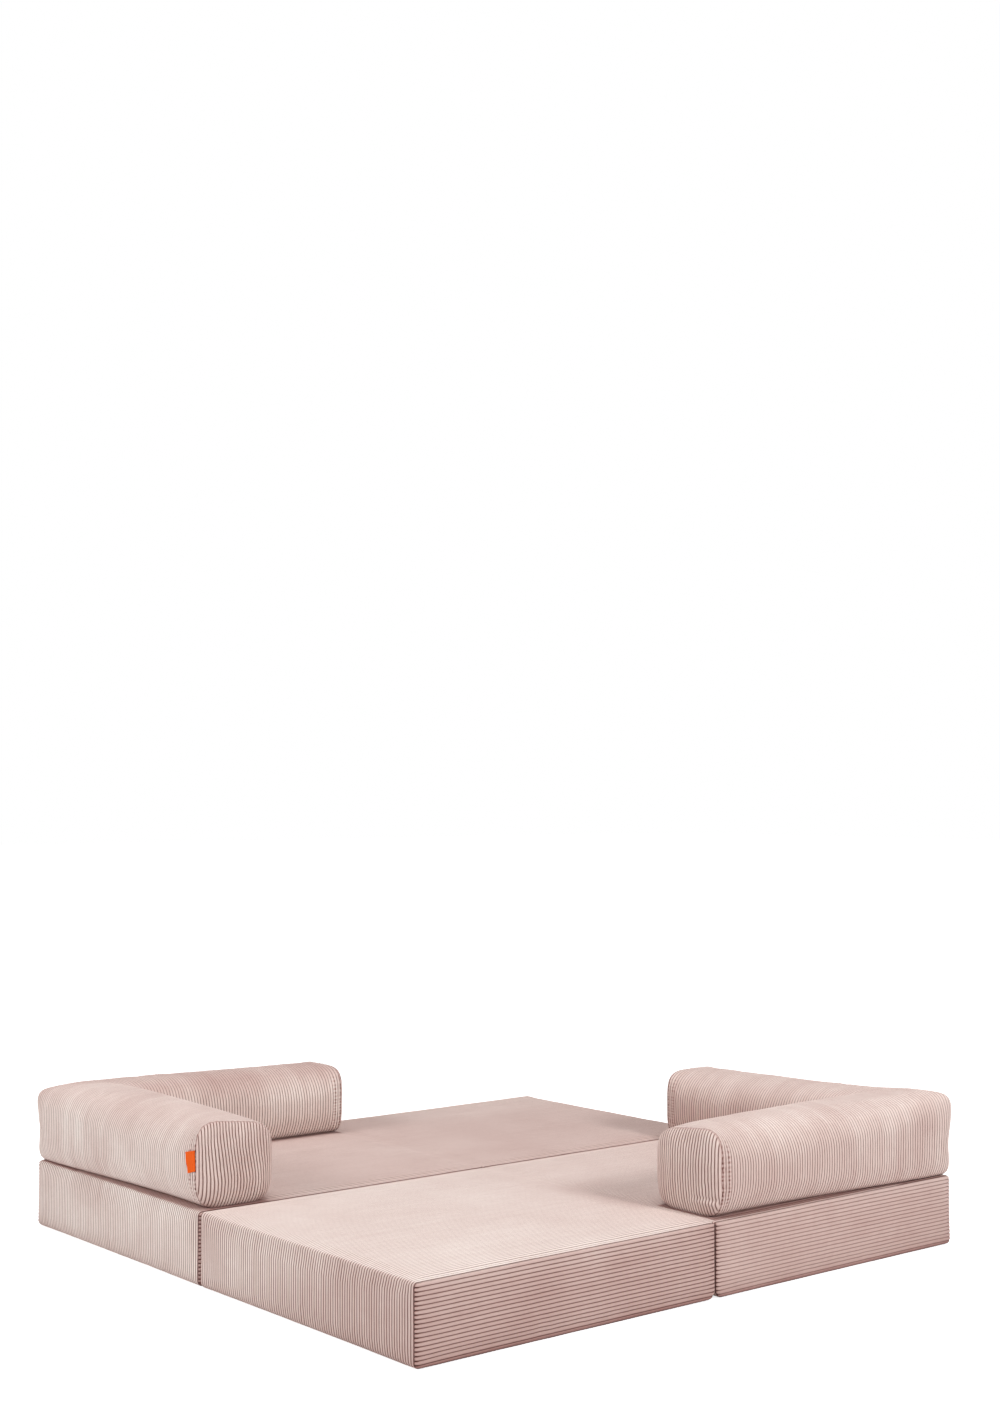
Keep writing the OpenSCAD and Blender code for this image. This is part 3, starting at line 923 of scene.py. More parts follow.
def top_nap_and_painted_light(name, points):
    """The nap and painted light of a panel's top: it changes slowly towards the fold and the outer long
    side, with painted shadow beside a bolster's foot and beside the right bolster's cap.
    """
    middle, fold, outer_side = (PANELS[name][key] for key in ("middle", "fold", "outer_side"))
    x, y = points.T[:2]
    nap = middle + (fold - middle) * np.exp(-np.maximum(x, 0) / 0.25)
    nap += (outer_side - middle) * np.exp(-(y / 0.28) ** 4) * clamped((x - 0.15) / 0.25)
    # Painted contact shadow beside the bolster's foot
    if name in ("right_panel", "left_panel"):
        nap *= 1 - painted_shade_beside_bolster(points)
    return nap * painted_cap_shadow(name, x, y)


def raised(points, lift):
    """The cover with its top pushed up along the other unit, most beside its end."""
    x, y, z = points.T
    beside = np.exp(-(PANEL_LEN - x) / 0.3) * fade(PANEL_DEP - y, 35)
    return np.stack([x, y, z + lift * beside * clamped(3 * z / PANEL_H - 2)], -1)


def make_panel(name):
    panel = PANELS[name]
    points, faces, attributes = PANEL_COVER
    top, end = attributes["top"], attributes["end"]
    side = clamped(1 - top - end)
    # Nap and painted light of the ends, changing from the outer long side across to the other unit
    outer_end, inner_end = panel["outer_end"], panel["inner_end"]
    end_nap_and_light = outer_end + (inner_end - outer_end) * points[:, 1] / PANEL_DEP
    above = np.maximum(points[:, 2] - 4 * MM * side, 0)
    inward = np.minimum(np.minimum(points[:, 0], PANEL_LEN - points[:, 0]),
                        np.minimum(points[:, 1], PANEL_DEP - points[:, 1]))
    # Painted contact shade low on the sides and ends, faded away inward across the underside
    painted_contact_shade = 0.15 * fade(above, 16) + (0.5 + 0.25 * side) * fade(above, 5)
    painted_contact_shade *= np.exp(-np.maximum(inward - 4 * MM, 0) / (5 * MM))
    beneath = clamped(inward / (20 * MM)) * side
    side_nap_and_light = panel["sides"] + (UNDERSIDE_NAP - panel["sides"]) * beneath
    # Painted shade along the seams: a narrow dark line, and a broader faint one on the ends
    to_seam = attributes["to_seam"]
    seam = 0.12 * fade(to_seam, 9) * end + 0.45 * fade(to_seam, 1.4) * (1 - 0.85 * top)
    values = {
        "rib": attributes["rib"], "loose": attributes["loose"],
        "rib_depth": attributes["rib_depth"] * (1 + 0.45 * end + (panel["relief"] - 1) * side),
        "mottle": 0.4 * top + 0.9 * end + 0.6 * side,
        "nap": ((top * top_nap_and_painted_light(name, points) + end * end_nap_and_light + side * side_nap_and_light)
                * (1 - painted_contact_shade) * (1 - seam)),
    }
    points = panel["place"](raised(points, panel["lift"]))
    piece = new_piece(f"{name}_corduroy", points, faces, values)
    ribbed(piece, give=1.5 * MM, give_size=5.0, sway=1.5 * MM, seed=panel["seed"])
    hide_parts(f"{name}_cover", f"{name}_foam")
    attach(piece, name)


PANEL_COVER = settled_panel()
for panel in PANELS:
    make_panel(panel)


# Fold cloths

def fold_cloth(unit, turn):
    """Cloth that carries the ribs over the fold, sunk into both panels' tops at its edges."""
    ys, _, rib, tucked = across_sheet()
    keep = (ys > FOLD_CLOTH_MARGIN) & (ys < PANEL_DEP - FOLD_CLOTH_MARGIN) & (tucked == 0)
    ys, rib = ys[keep], rib[keep]
    xs = np.array([-16, -13, -10, -7, -5, -3.5, -2, -1, 0, 1, 2, 3.5, 5, 7, 10, 13, 16]) * MM
    fall = clamped((np.abs(xs) - 8 * MM) / (8 * MM))
    x, y = np.meshgrid(xs, ys, indexing="ij")
    sink = FOLD_CLOTH_SINK + FOLD_EDGE_SINK * fall[:, None]
    top = PANEL_H + crown(np.zeros_like(x), y) - sink
    upper = np.stack([x, y - HALF_UNIT_GAP - PANEL_DEP, top], -1).reshape(-1, 3)
    lower = upper - np.array([0, 0, FOLD_CLOTH_T])
    rows, columns = x.shape
    count = len(upper)
    edge = grid_edge(rows, columns)
    faces = grid_faces(rows, columns)
    faces += [[k + count for k in face[::-1]] for face in faces]
    faces += band(edge, [k + count for k in edge])
    # Painted soft shadow beside the end of the right bolster's long arm
    nap = FOLD_NAPS_AND_LIGHT[unit] * painted_cap_shadow(f"{unit}_fold_cloth", x.ravel(), y.ravel())
    ribs = np.tile(rib, rows)
    depth = np.repeat(1 - 0.4 * fall, columns)
    values = {"rib": np.tile(ribs, 2), "rib_depth": np.concatenate([depth, np.zeros(count)]),
              "loose": np.zeros(2 * count), "nap": np.tile(nap, 2),
              "mottle": np.full(2 * count, 0.25)}
    points = np.concatenate([upper, lower]) * np.array([turn, turn, 1])
    piece = new_piece(f"{unit}_fold_corduroy", points, faces, values)
    ribbed(piece, give=0.0, give_size=5.0, sway=0.0, seed=0.0)
    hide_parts(f"{unit}_fold_cloth")
    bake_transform(piece)


fold_cloth("front", 1)
fold_cloth("rear", -1)


# Bolsters

SECTION_H = BOLSTER_H + BOLSTER_SAG
MID_Z = SECTION_H / 2 - BOLSTER_SAG


def section_shape(upper, share, from_seam=0.0):
    """
    Squareness and half height of a section's upper or lower half; share is 0 at a cap, 1 at the
    turn. A cap's own outline holds the sleeve squarer near its seam.
    """
    arm, seam, corner = (np.where(upper, *pair) for pair in
                         (ARM_SQUARENESS, SEAM_SQUARENESS, CORNER_SQUARENESS))
    end = arm + (seam - arm) * math.exp(-from_seam / (40 * MM))
    power = end + (corner - end) * share ** SQUARE_RUN
    return power, SECTION_H / 2 - np.where(upper, END_DROP * (1 - share) ** 2, 0)


def arm_outline(share, from_seam, count=96):
    """The arm's section as points evenly spaced round it: in from the outer side, and up."""
    a = np.linspace(0, 2 * math.pi, 1440, endpoint=False)
    power, half_h = section_shape(np.sin(a) > 0, share, from_seam)
    across = BOLSTER_W / 2 * (1 - np.sign(np.cos(a)) * np.abs(np.cos(a)) ** (2 / power))
    up = np.maximum(MID_Z + half_h * np.sign(np.sin(a)) * np.abs(np.sin(a)) ** (2 / power), 0)
    loop = np.stack([across, up], -1)
    steps = np.linalg.norm(np.roll(loop, -1, 0) - loop, axis=1)
    at = np.concatenate([[0], np.cumsum(steps)])
    pleat = BOLSTER_W / 2 + np.array([-1, -0.81, 0, 0.81, 1]) * (ZIP_PLEAT_W / 2 + PLEAT_SLOPE)
    beneath = np.arange(720, 1440)[::-1]
    extra = np.interp(pleat, across[beneath], at[beneath])
    wanted = np.sort(np.concatenate([np.linspace(0, at[-1], count, endpoint=False), extra]))
    closed = np.concatenate([loop, loop[:1]])
    return np.stack([np.interp(wanted, at, closed[:, k]) for k in (0, 1)], -1)


def rounded_turn(points):
    """Bends the straight mitred arm round the bolster's outer corner."""
    x, y = points[:, 0], points[:, 1]
    r = OUTER_TURN_R + (INNER_TURN_R - OUTER_TURN_R) * y / BOLSTER_W
    past = clamped((x + y + r) / r)
    a = past * math.pi / 4
    bent = past > 0
    new_x = np.where(bent, -(y + r) + r * np.sin(a), x)
    new_y = np.where(bent, y + r - r * np.cos(a), y)
    return np.stack([new_x, new_y, points[:, 2]], -1)


def mitred(points, faces):
    """What lies on an arm's own side of the mitre plane."""
    work = bmesh.new()
    verts = [work.verts.new(p) for p in points]
    for face in faces:
        work.faces.new([verts[k] for k in face])
    geometry = work.verts[:] + work.edges[:] + work.faces[:]
    bmesh.ops.bisect_plane(work, geom=geometry, dist=1e-6, plane_co=(0, 0, 0),
                           plane_no=(1, 1, 0), clear_outer=True)
    work.verts.index_update()
    kept = np.array([v.co[:] for v in work.verts])
    kept_faces = [[v.index for v in f.verts] for f in work.faces]
    work.free()
    return kept, kept_faces


def straight_arm(length):
    """An arm's sleeve from its seam to the mitre plane, before the corner is rounded."""
    seam = length - CAP_DEPTH
    count = int(seam / RIB_W)
    stops = rib_stops(count + 1) * RIB_W
    stops = stops[(stops < seam - 7 * MM) & (stops >= 0)]
    xs = -np.concatenate([stops, seam - np.array([6, 4, 2.5, 1.2, 0]) * MM])
    to_seam = seam + xs
    outlines = np.array([arm_outline(min(s / (seam - BOLSTER_W / 2), 1), s) for s in to_seam])
    rows, columns = outlines.shape[:2]
    local = np.concatenate([np.full((columns, 1), -seam), outlines[-1]], 1)
    pinch = (3 + 1.5 * gathers(local)) * MM * fade(to_seam[:, None], 7)
    centre = np.array([BOLSTER_W / 2, BOLSTER_H / 2])
    scale = 1 - pinch / (BOLSTER_W / 2)
    ring = centre + (outlines - centre) * scale[:, :, None]
    outline = outlines[-1]
    points = np.concatenate([np.broadcast_to(xs[:, None, None], (rows, columns, 1)), ring], -1)
    points = points.reshape(-1, 3)
    faces = grid_faces(rows, columns, closed_columns=True)
    tuck = np.column_stack([np.full(columns, -seam - BEHIND_SEAM),
                            centre + (outline - centre) * (1 - SLEEVE_TUCK / (BOLSTER_W / 2))])
    seam_ring = list(range(len(points) - columns, len(points)))
    points, quads, tuck_ring = tucked_in(points, seam_ring, tuck)
    faces += [*flipped(quads), tuck_ring]
    return mitred(points, faces)


def across_end(points, faces):
    """An arm's mesh mirrored from the long side to the panel's end."""
    return np.stack([-points[:, 1], -points[:, 0], points[:, 2]], -1), [face[::-1] for face in faces]


def bolster_shell():
    """Both sleeves joined at the mitre, in the bolster's own frame, as one closed mesh."""
    parts, faces, ribs, depths, loose = [], [], [], [], []
    total = 0
    for k, length in enumerate((LONG_ARM, SHORT_ARM)):
        points, arm_faces = straight_arm(length)
        seam = length - CAP_DEPTH
        to_seam = points[:, 0] + seam
        ribs.append(-points[:, 0] / RIB_W)
        depths.append(clamped(to_seam / (1.5 * MM)))
        free = clamped(points[:, 2] / (30 * MM))
        loose.append(clamped(to_seam / (20 * MM)) * free)
        points = rounded_turn(points)
        if k:
            points, arm_faces = across_end(points, arm_faces)
        parts.append(points)
        faces += [[v + total for v in face] for face in arm_faces]
        total += len(points)
    return (np.concatenate(parts), faces, {"rib": np.concatenate(ribs),
            "rib_depth": np.concatenate(depths), "loose": np.concatenate(loose)})


def place_right_bolster(p):
    corner = [PANEL_LEN - BOLSTER_INSET, BOLSTER_INSET, BOLSTER_Z]
    return place_right(p + np.array(corner))


# Each bolster's placing and seed; the nap and painted light of its long and its short arm's top, of its
# outer and inner sides and of its caps; and its fullness: how far its corner stands up and out, and its
# fuller arm
BOLSTERS = {
    "right_bolster": dict(place=place_right_bolster, seed=11.0, long_top=1.04, short_top=0.97,
                          outer=0.95, inner=0.92, caps=1.06,
                          fullness=dict(corner_up=19 * MM, corner_out=14 * MM, full_arm="long")),
    "left_bolster": dict(place=turned(place_right_bolster), seed=12.0, long_top=0.82, short_top=1.01,
                         outer=1.20, inner=1.22, caps=1.05,
                         fullness=dict(corner_up=-5 * MM, corner_out=12 * MM, full_arm="short")),
}


def arm_places(points):
    """How far each place is along its own arm from the corner, and across it from the outer side."""
    outer, inner = -points[:, 0], points[:, 1]
    return np.maximum(outer, inner), np.minimum(outer, inner), outer > inner


def fuller_arm(points, arm):
    """
    Lifts one arm towards its cap and fills the upper edge of its inner side short of the seam. At the
    seam the top slopes down to the inner side.
    """
    along, across, on_long = arm_places(points)
    on_arm = on_long == (arm == "long")
    share = clamped((along - BOLSTER_W) / (SHORT_ARM - BOLSTER_W)) * on_arm
    angle = np.arctan2(points[:, 2] - MID_Z, across - BOLSTER_W / 2)
    before_seam = np.maximum(-past_seam(points), 0)
    filled = (FILL * np.sin(2 * np.clip(angle, 0, math.pi / 2)) * (1 - (1 - share) ** 3)
              * (1 - fade(before_seam, 80)))
    end = np.exp(-before_seam / TILT_RUN) * on_arm
    height = clamped(points[:, 2] / BOLSTER_H)
    tilt = CAP_TILT * (1 - across / (BOLSTER_W / 2)) * height ** 2 * end
    rise = END_DROP * share ** 2 * (1 - 0.45 * end) * height + filled * np.sin(angle) + tilt
    inward = filled * np.cos(angle)
    return points + np.stack([np.where(on_long, 0, -inward), np.where(on_long, inward, 0), rise], -1)


def shaped(points, corner_up, corner_out, full_arm):
    """The bolster's cloth with its own fullness, resting on the panel's crowned top."""
    x, y, z = fuller_arm(points, full_arm).T
    nearness = np.exp(-((x ** 2 + y ** 2) / (0.17 ** 2)))
    height = clamped(z / BOLSTER_H)
    panel_x, panel_y = x + PANEL_LEN - BOLSTER_INSET, y + BOLSTER_INSET
    drop = (TOP_CROWN - crown(panel_x, panel_y)) * clamped(1 - z / (60 * MM))
    out = corner_out * nearness * np.sqrt(clamped(1.5 * height)) / math.sqrt(2)
    return np.stack([x + out, y - out, z + corner_up * nearness * height ** 2 - drop], -1)


def cap_dome(rho):
    """The cap's share of its full depth, from 1 at its middle to 0 at its seam."""
    return (1 - rho ** 3) ** 0.55


def end_cap(length, lean, tuck_height):
    """
    A domed end cap in the long arm's frame, as one closed mesh. Its ribs stand upright or lean
    outwards at the top, and low on its outer side the cloth may lie in a tuck.
    """
    half_w = BOLSTER_W / 2 - CAP_SHRINK
    ribs = rib_stops(CAP_RIBS)
    fine = np.linspace(-0.9995, 0.9995, 2001)
    rise = CAP_DEPTH * cap_dome(np.abs(fine))
    over = np.concatenate([[0], np.cumsum(np.hypot(np.diff(fine) * half_w, np.diff(rise)))])
    across = np.interp(ribs / CAP_RIBS * over[-1], over, fine)
    up = np.sin(np.linspace(-1, 1, 61) * math.pi / 2)
    up = np.sign(up) * np.abs(up) ** 0.9
    y, t = np.meshgrid(across, up, indexing="ij")
    power, half_h = section_shape(t > 0, 0)
    v = t * (1 - np.abs(y) ** power) ** (1 / power)
    rho = clamped((np.abs(y) ** power + np.abs(v) ** power) ** (1 / power))
    dome = cap_dome(rho)
    py = BOLSTER_W / 2 + (y - lean * v * (1 - rho ** 2)) * half_w
    pz = np.maximum(MID_Z + v * (half_h - CAP_SHRINK), 0.2 * MM)
    tucked = clamped((-0.05 - y) / 0.35) * clamped((1 - rho) / 0.08)
    ridge = np.exp(-((pz - TUCK_Z) / (7 * MM)) ** 2) - np.exp(-((pz - TUCK_Z - 13 * MM) / (5 * MM)) ** 2)
    px = -(length - CAP_DEPTH) - dome * CAP_DEPTH - tucked * ridge * tuck_height
    points = np.stack([px, py, pz], -1).reshape(-1, 3)
    rows, columns = y.shape
    faces = grid_faces(rows, columns)
    ring = grid_edge(rows, columns)
    centre = np.array([0, BOLSTER_W / 2, BOLSTER_H / 2])
    around = points[ring]
    tuck = centre + (around - centre) * (1 - CAP_TUCK / (BOLSTER_W / 2))
    tuck[:, 0] = -(length - CAP_DEPTH) - BEHIND_SEAM
    points, quads, tuck_ring = tucked_in(points, ring, tuck)
    faces += [*quads, tuck_ring]
    all_ribs = np.repeat(ribs, columns)
    values = {"rib": np.concatenate([all_ribs, all_ribs[ring]]),
              "rib_depth": with_tuck(1.45 * (0.25 + 0.75 * clamped((1 - rho) / 0.02)), ring),
              "rim": with_tuck(1 - rho, ring),
              "loose": with_tuck(clamped((1 - rho) / 0.3), ring)}
    return points, faces, values


def bolster_caps():
    """The end caps of both arms in the bolster's own frame."""
    caps = {}
    for arm, length, lean, tuck_height in (("long", LONG_ARM, 0.0, 3 * MM),
                                           ("short", SHORT_ARM, 0.16, 0.0)):
        points, faces, values = end_cap(length, lean, tuck_height)
        if arm == "short":
            points, faces = across_end(points, faces)
        caps[arm] = points, faces, values
    return caps


def gather_count(p):
    """How many gathers of the cap's seam lie between each place and the arm's underside."""
    short = p[:, 1] > -p[:, 0]
    across = np.where(short, -p[:, 0], p[:, 1])
    around = np.arctan2(across - BOLSTER_W / 2, p[:, 2] - MID_Z)
    return (GATHERS * around + 2.5 * np.sin(3 * around + np.where(short, 1, 0))) / (2 * math.pi)


def gathers(p):
    """A wave from -1 to 1 round each arm, where its seam gathers the cloth."""
    return np.sin(2 * math.pi * gather_count(p))


def past_seam(p):
    """How far each place lies past the nearer cap's seam, towards the arm's end."""
    return np.maximum(-p[:, 0] - (LONG_ARM - CAP_DEPTH), p[:, 1] - (SHORT_ARM - CAP_DEPTH))


def bolster_held(p):
    """How firmly each place on a bolster's cloth stays: the caps' seams and the underside."""
    seam = clamped(1.5 - np.abs(past_seam(p)) / (8 * MM))
    underside = clamped(2 - p[:, 2] / (10 * MM))
    return np.maximum.reduce([seam, underside, np.full(len(p), 0.05)])


def bolster_slack(p):
    """How much of its slack each place on a bolster's cloth has: most beside the caps' seams."""
    return clamped(1 - np.abs(past_seam(p)) / (80 * MM))


def settled_bolster():
    """The sleeves and both caps after their cloth has settled."""
    pieces = {"sleeve": bolster_shell(), **bolster_caps()}
    solids = [(points, faces) for points, faces, values in pieces.values()]
    give = cloth_give("bolster cloth", solids, voxel=11 * MM, held=bolster_held,
                      slack=bolster_slack, most=7 * MM)
    return {key: (with_give(points, give, spread=8 * MM), faces, values)
            for key, (points, faces, values) in pieces.items()}


BOLSTER_COVER = settled_bolster()


def zip_pleat(points):
    """1 in the pleat under the long arm that its zip lies in, and 0 outside."""
    x, y, z = points.T
    far_end = BOLSTER_ZIP_START - LONG_ARM
    inside = np.minimum(x - far_end, far_end + BOLSTER_ZIP_LEN - x)
    along = clamped((inside + PLEAT_SLOPE) / PLEAT_SLOPE)
    across = clamped((ZIP_PLEAT_W / 2 + PLEAT_SLOPE - np.abs(y - BOLSTER_W / 2)) / PLEAT_SLOPE)
    return along * across * (z < 60 * MM)


def beside_top(points):
    """1 on a bolster's sides, falling to 0 on its top."""
    return 1 - clamped((points[:, 2] / BOLSTER_H - 0.62) / 0.3)


def painted_underside_shade(points):
    """What is left of the colour under painted contact shade low on a bolster's cloth, where it turns
    under onto the panel; the middle of its underside is left as it is.
    """
    across = arm_places(points)[1]
    z = np.maximum(points[:, 2], 0)
    beneath = clamped((BOLSTER_W / 2 - np.abs(across - BOLSTER_W / 2)) / (40 * MM) - 1)
    return 1 - (0.12 * fade(z, 25) + 0.5 * fade(z, 4)) * (1 - beneath)


def make_bolster(name):
    bolster = BOLSTERS[name]
    points, faces, values = BOLSTER_COVER["sleeve"]
    # Nap and painted light by face: each arm's top, then the outer and inner sides
    on_long = clamped(-(points[:, 0] + points[:, 1]) / 0.1 + 0.5)
    top_nap_and_light = bolster["short_top"] + (bolster["long_top"] - bolster["short_top"]) * on_long
    side = beside_top(points)
    inner = clamped(np.minimum(-points[:, 0], points[:, 1]) / BOLSTER_W * 2 - 0.5)
    to_seam, wave = np.abs(past_seam(points)), gathers(points)
    pucker = clamped(wave) * side
    # Painted shade along the caps' seams, darkest on the top, and a little more beside the gathers
    seam = (0.55 - 0.35 * side) * fade(to_seam, 1.5) + 0.15 * pucker * fade(to_seam, 9)
    puckers = 1.5 * pucker * fade(to_seam, 14)
    # Painted shade in the seam's gathers: dark dashes beside it and again where its allowance ends
    gather_shade_dashes = (np.exp(-(to_seam / (8 * MM)) ** 2)
              + 0.8 * np.exp(-((to_seam - 26 * MM) / (6 * MM)) ** 2)) * side
    side_nap_and_light = bolster["outer"] + (bolster["inner"] - bolster["outer"]) * inner
    pleat = zip_pleat(points)
    relief = (0.6 + 0.4 * side + puckers) * (1 - pleat)
    values = dict(values, mottle=np.full(len(points), 0.9), gather=2 * gather_count(points),
                  pucker=gather_shade_dashes, rib_depth=values["rib_depth"] * relief,
                  nap=(top_nap_and_light + (side_nap_and_light - top_nap_and_light) * side) * (1 - seam) * painted_underside_shade(points))
    points = shaped(points, **bolster["fullness"])
    points[:, 2] += ZIP_PLEAT_D * pleat
    cover = new_piece(f"{name}_corduroy", bolster["place"](points), faces, values, weld=True)
    ribbed(cover, give=3 * MM, give_size=6.0, sway=3 * MM, seed=bolster["seed"])
    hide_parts(f"{name}_long_sleeve", f"{name}_short_sleeve", f"{name}_foam")
    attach(cover, name)
    for arm in ("long", "short"):
        points, faces, values = BOLSTER_COVER[arm]
        values = dict(values)
        rim = values.pop("rim")
        # Painted shade round the cap's seam, darkest on the top
        seam = 0.05 * np.exp(-rim / 0.06) + (0.4 - 0.28 * beside_top(points)) * np.exp(-rim / 0.008)
        values.update(mottle=np.full(len(points), 0.9),
                      nap=bolster["caps"] * (1 - seam) * painted_underside_shade(points))
        points = bolster["place"](shaped(points, **bolster["fullness"]))
        cap = new_piece(f"{name}_{arm}_cap_corduroy", points, faces, values)
        ribbed(cap, give=3 * MM, give_size=12.0, sway=8 * MM, seed=bolster["seed"] + 1)
        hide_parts(f"{name}_{arm}_end_cap")
        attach(cap, name)


for bolster in BOLSTERS:
    make_bolster(bolster)


# Tags

TAG_SLOPE = math.radians(14)
RIBBON_T = 0.5 * MM
TAG_FOLD_R = 0.55 * MM
TAG_CLEAR = 1.1 * MM
TAG_CURL = 3 * MM
TAG_RIPPLE = 0.7 * MM


def folded_section(length):
    """The folded ribbon seen from its edge: a closed outline, away from the seam and outwards."""
    straight = np.linspace(0, length, 18)
    turn = np.radians(np.linspace(90, -90, 9))[1:-1]
    outer = np.stack([straight, np.full(18, TAG_FOLD_R)], -1)
    fold = np.stack([length + TAG_FOLD_R * np.cos(turn), TAG_FOLD_R * np.sin(turn)], -1)
    inner = np.stack([straight[::-1], np.full(18, -TAG_FOLD_R)], -1)
    path = np.concatenate([outer, fold, inner])
    facing = np.concatenate([np.tile([0.0, 1.0], (18, 1)), np.stack([np.cos(turn), np.sin(turn)], -1),
                             np.tile([0.0, -1.0], (18, 1))])
    return np.concatenate([path + facing * RIBBON_T / 2, (path - facing * RIBBON_T / 2)[::-1]])


def make_tag(name):
    """The blank ribbon in the cap's seam, which lies on the arm's cloth and hangs askew."""
    low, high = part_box(f"{name}_tag")
    side = 1 if low.x > 0 else -1
    seam_y = high.y if side > 0 else low.y
    length, tall, middle = high.y - low.y, high.z - low.z, (low.z + high.z) / 2
    cover = positions(bpy.data.objects[f"{name}_corduroy"].data)
    out, back = side * cover[:, 0], side * (seam_y - cover[:, 1])
    beside = np.abs(cover[:, 2] - middle) < tall / 2 + 6 * MM
    stops = np.linspace(0, length, 12)
    rest = np.array([out[beside & (np.abs(back - stop) < 5 * MM)].max() for stop in stops])
    section = folded_section(length)
    up = np.linspace(-tall / 2, tall / 2, 25)[:, None]
    away, off = section[:, 0], section[:, 1]
    lean = 0.3 + 0.7 * away / length
    along = away * math.cos(TAG_SLOPE) + up * math.sin(TAG_SLOPE) * lean
    z = middle + up * math.cos(TAG_SLOPE) - away * math.sin(TAG_SLOPE)
    share = away / length
    curl = TAG_CURL * share ** 2 + TAG_RIPPLE * share * np.sin(up / (7 * MM) + 1)
    stand = np.interp(away, stops, rest) + TAG_CLEAR + off + curl
    points = np.stack([side * stand, seam_y - side * along, z], -1).reshape(-1, 3)
    rows, columns = along.shape
    faces = grid_faces(rows, columns, closed_columns=True)
    for start in (0, (rows - 1) * columns):
        faces += [(start + k, start + k + 1, start + columns - 2 - k, start + columns - 1 - k)
                  for k in range(columns // 2 - 1)]
    tag = new_piece(f"{name}_tag_ribbon", points, faces, {})
    tag.data.materials.append(TAG_CLOTH)
    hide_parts(f"{name}_tag")
    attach(tag, name)


for bolster in BOLSTERS:
    make_tag(bolster)


# Zips

TAPE_T = 1.0 * MM
CHAIN_T = 1.6 * MM
STOP_LEN = 3.0 * MM
STOP_W = 7.0 * MM
TOOTH = (1.5 * MM, 2.7 * MM, 1.7 * MM)
TOOTH_PITCH = 1.9 * MM
TOOTH_ASIDE = 1.12 * MM
STITCH = (3.2 * MM, 0.6 * MM, 0.5 * MM)
STITCH_PITCH = 4.6 * MM
STITCH_INSET = 2.5 * MM
STITCH_MARGIN = 4.0 * MM
PULLER_MIDDLE = 9 * MM
PULLER_HALF_LEN = 10 * MM
PULLER_HALF_W = 2.4 * MM
PULLER_FLARE = 0.5 * MM
PULLER_END_RIM = 1.1 * MM
PULLER_SIDE_RIM = 0.9 * MM
PULLER_HALF_T = 0.5 * MM
PULLER_LIFT = 0.55 * MM


def row_tree():
    """Adds a straight row of small rounded pieces, such as a zip's teeth or stitches."""
    group, tree, given = new_group("row of small pieces", "Piece", (
        ("Start", "Vector", (0, 0, 0)), ("Length", "Float", 0.5), ("Pitch", "Float", TOOTH_PITCH),
        ("Size", "Vector", TOOTH), ("Finish", "Material", None)))
    count = tree.maths("FLOOR", given.out("Length") / given.out("Pitch")) + 1.0
    step = tree.node("ShaderNodeCombineXYZ", {"X": given.out("Pitch")})
    line = tree.node("GeometryNodeMeshLine", {"Count": count, "Start Location": given.out("Start"),
                                              "Offset": step}, mode="OFFSET")
    bead = tree.node("GeometryNodeMeshUVSphere", {"Segments": 6, "Rings": 4, "Radius": 0.5})
    sized = tree.node("GeometryNodeTransform", {"Geometry": bead, "Scale": given.out("Size")})
    row = tree.node("GeometryNodeInstanceOnPoints", {"Points": line, "Instance": sized})
    joined = tree.node("GeometryNodeJoinGeometry", {"Geometry": tree.clad(row, given.out("Finish"))})
    group.links.new(given.out("Piece").socket, joined.made.inputs["Geometry"])
    tree.node("NodeGroupOutput", {0: joined})
    return group


ROW = row_tree()


def blocks(name, parts, materials):
    """A piece of soft-edged blocks: the low and high corner, edge radius and material of each."""
    work = bmesh.new()
    for low, high, radius, material in parts:
        before = set(work.faces)
        low, high = Vector(low), Vector(high)
        verts = bmesh.ops.create_cube(work, size=1)["verts"]
        for v in verts:
            v.co = Vector([(low[k] + high[k]) / 2 + (high[k] - low[k]) * v.co[k] for k in range(3)])
        edges = list({edge for v in verts for edge in v.link_edges})
        bmesh.ops.bevel(work, geom=edges, offset=radius, segments=2, profile=0.5, affect="EDGES")
        for face in set(work.faces) - before:
            face.material_index = material
    bmesh.ops.recalc_face_normals(work, faces=work.faces)
    mesh = bpy.data.meshes.new(name)
    work.to_mesh(mesh)
    work.free()
    for material in materials:
        mesh.materials.append(material)
    return placed(name, mesh)


def zip_frame(name):
    """Where a zip's line starts, its length, and the directions across its tape and out of it."""
    low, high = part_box(f"{name}_zip")
    length = high.x - low.x
    if name in BOLSTERS:
        return Vector((low.x, (low.y + high.y) / 2, high.z)), length, Vector((0, 1, 0)), Vector((0, 0, -1))
    out = 1 if low.y < 0 else -1
    back = low.y if out > 0 else high.y
    return Vector((low.x, back, (low.z + high.z) / 2)), length, Vector((0, 0, 1)), Vector((0, out, 0))


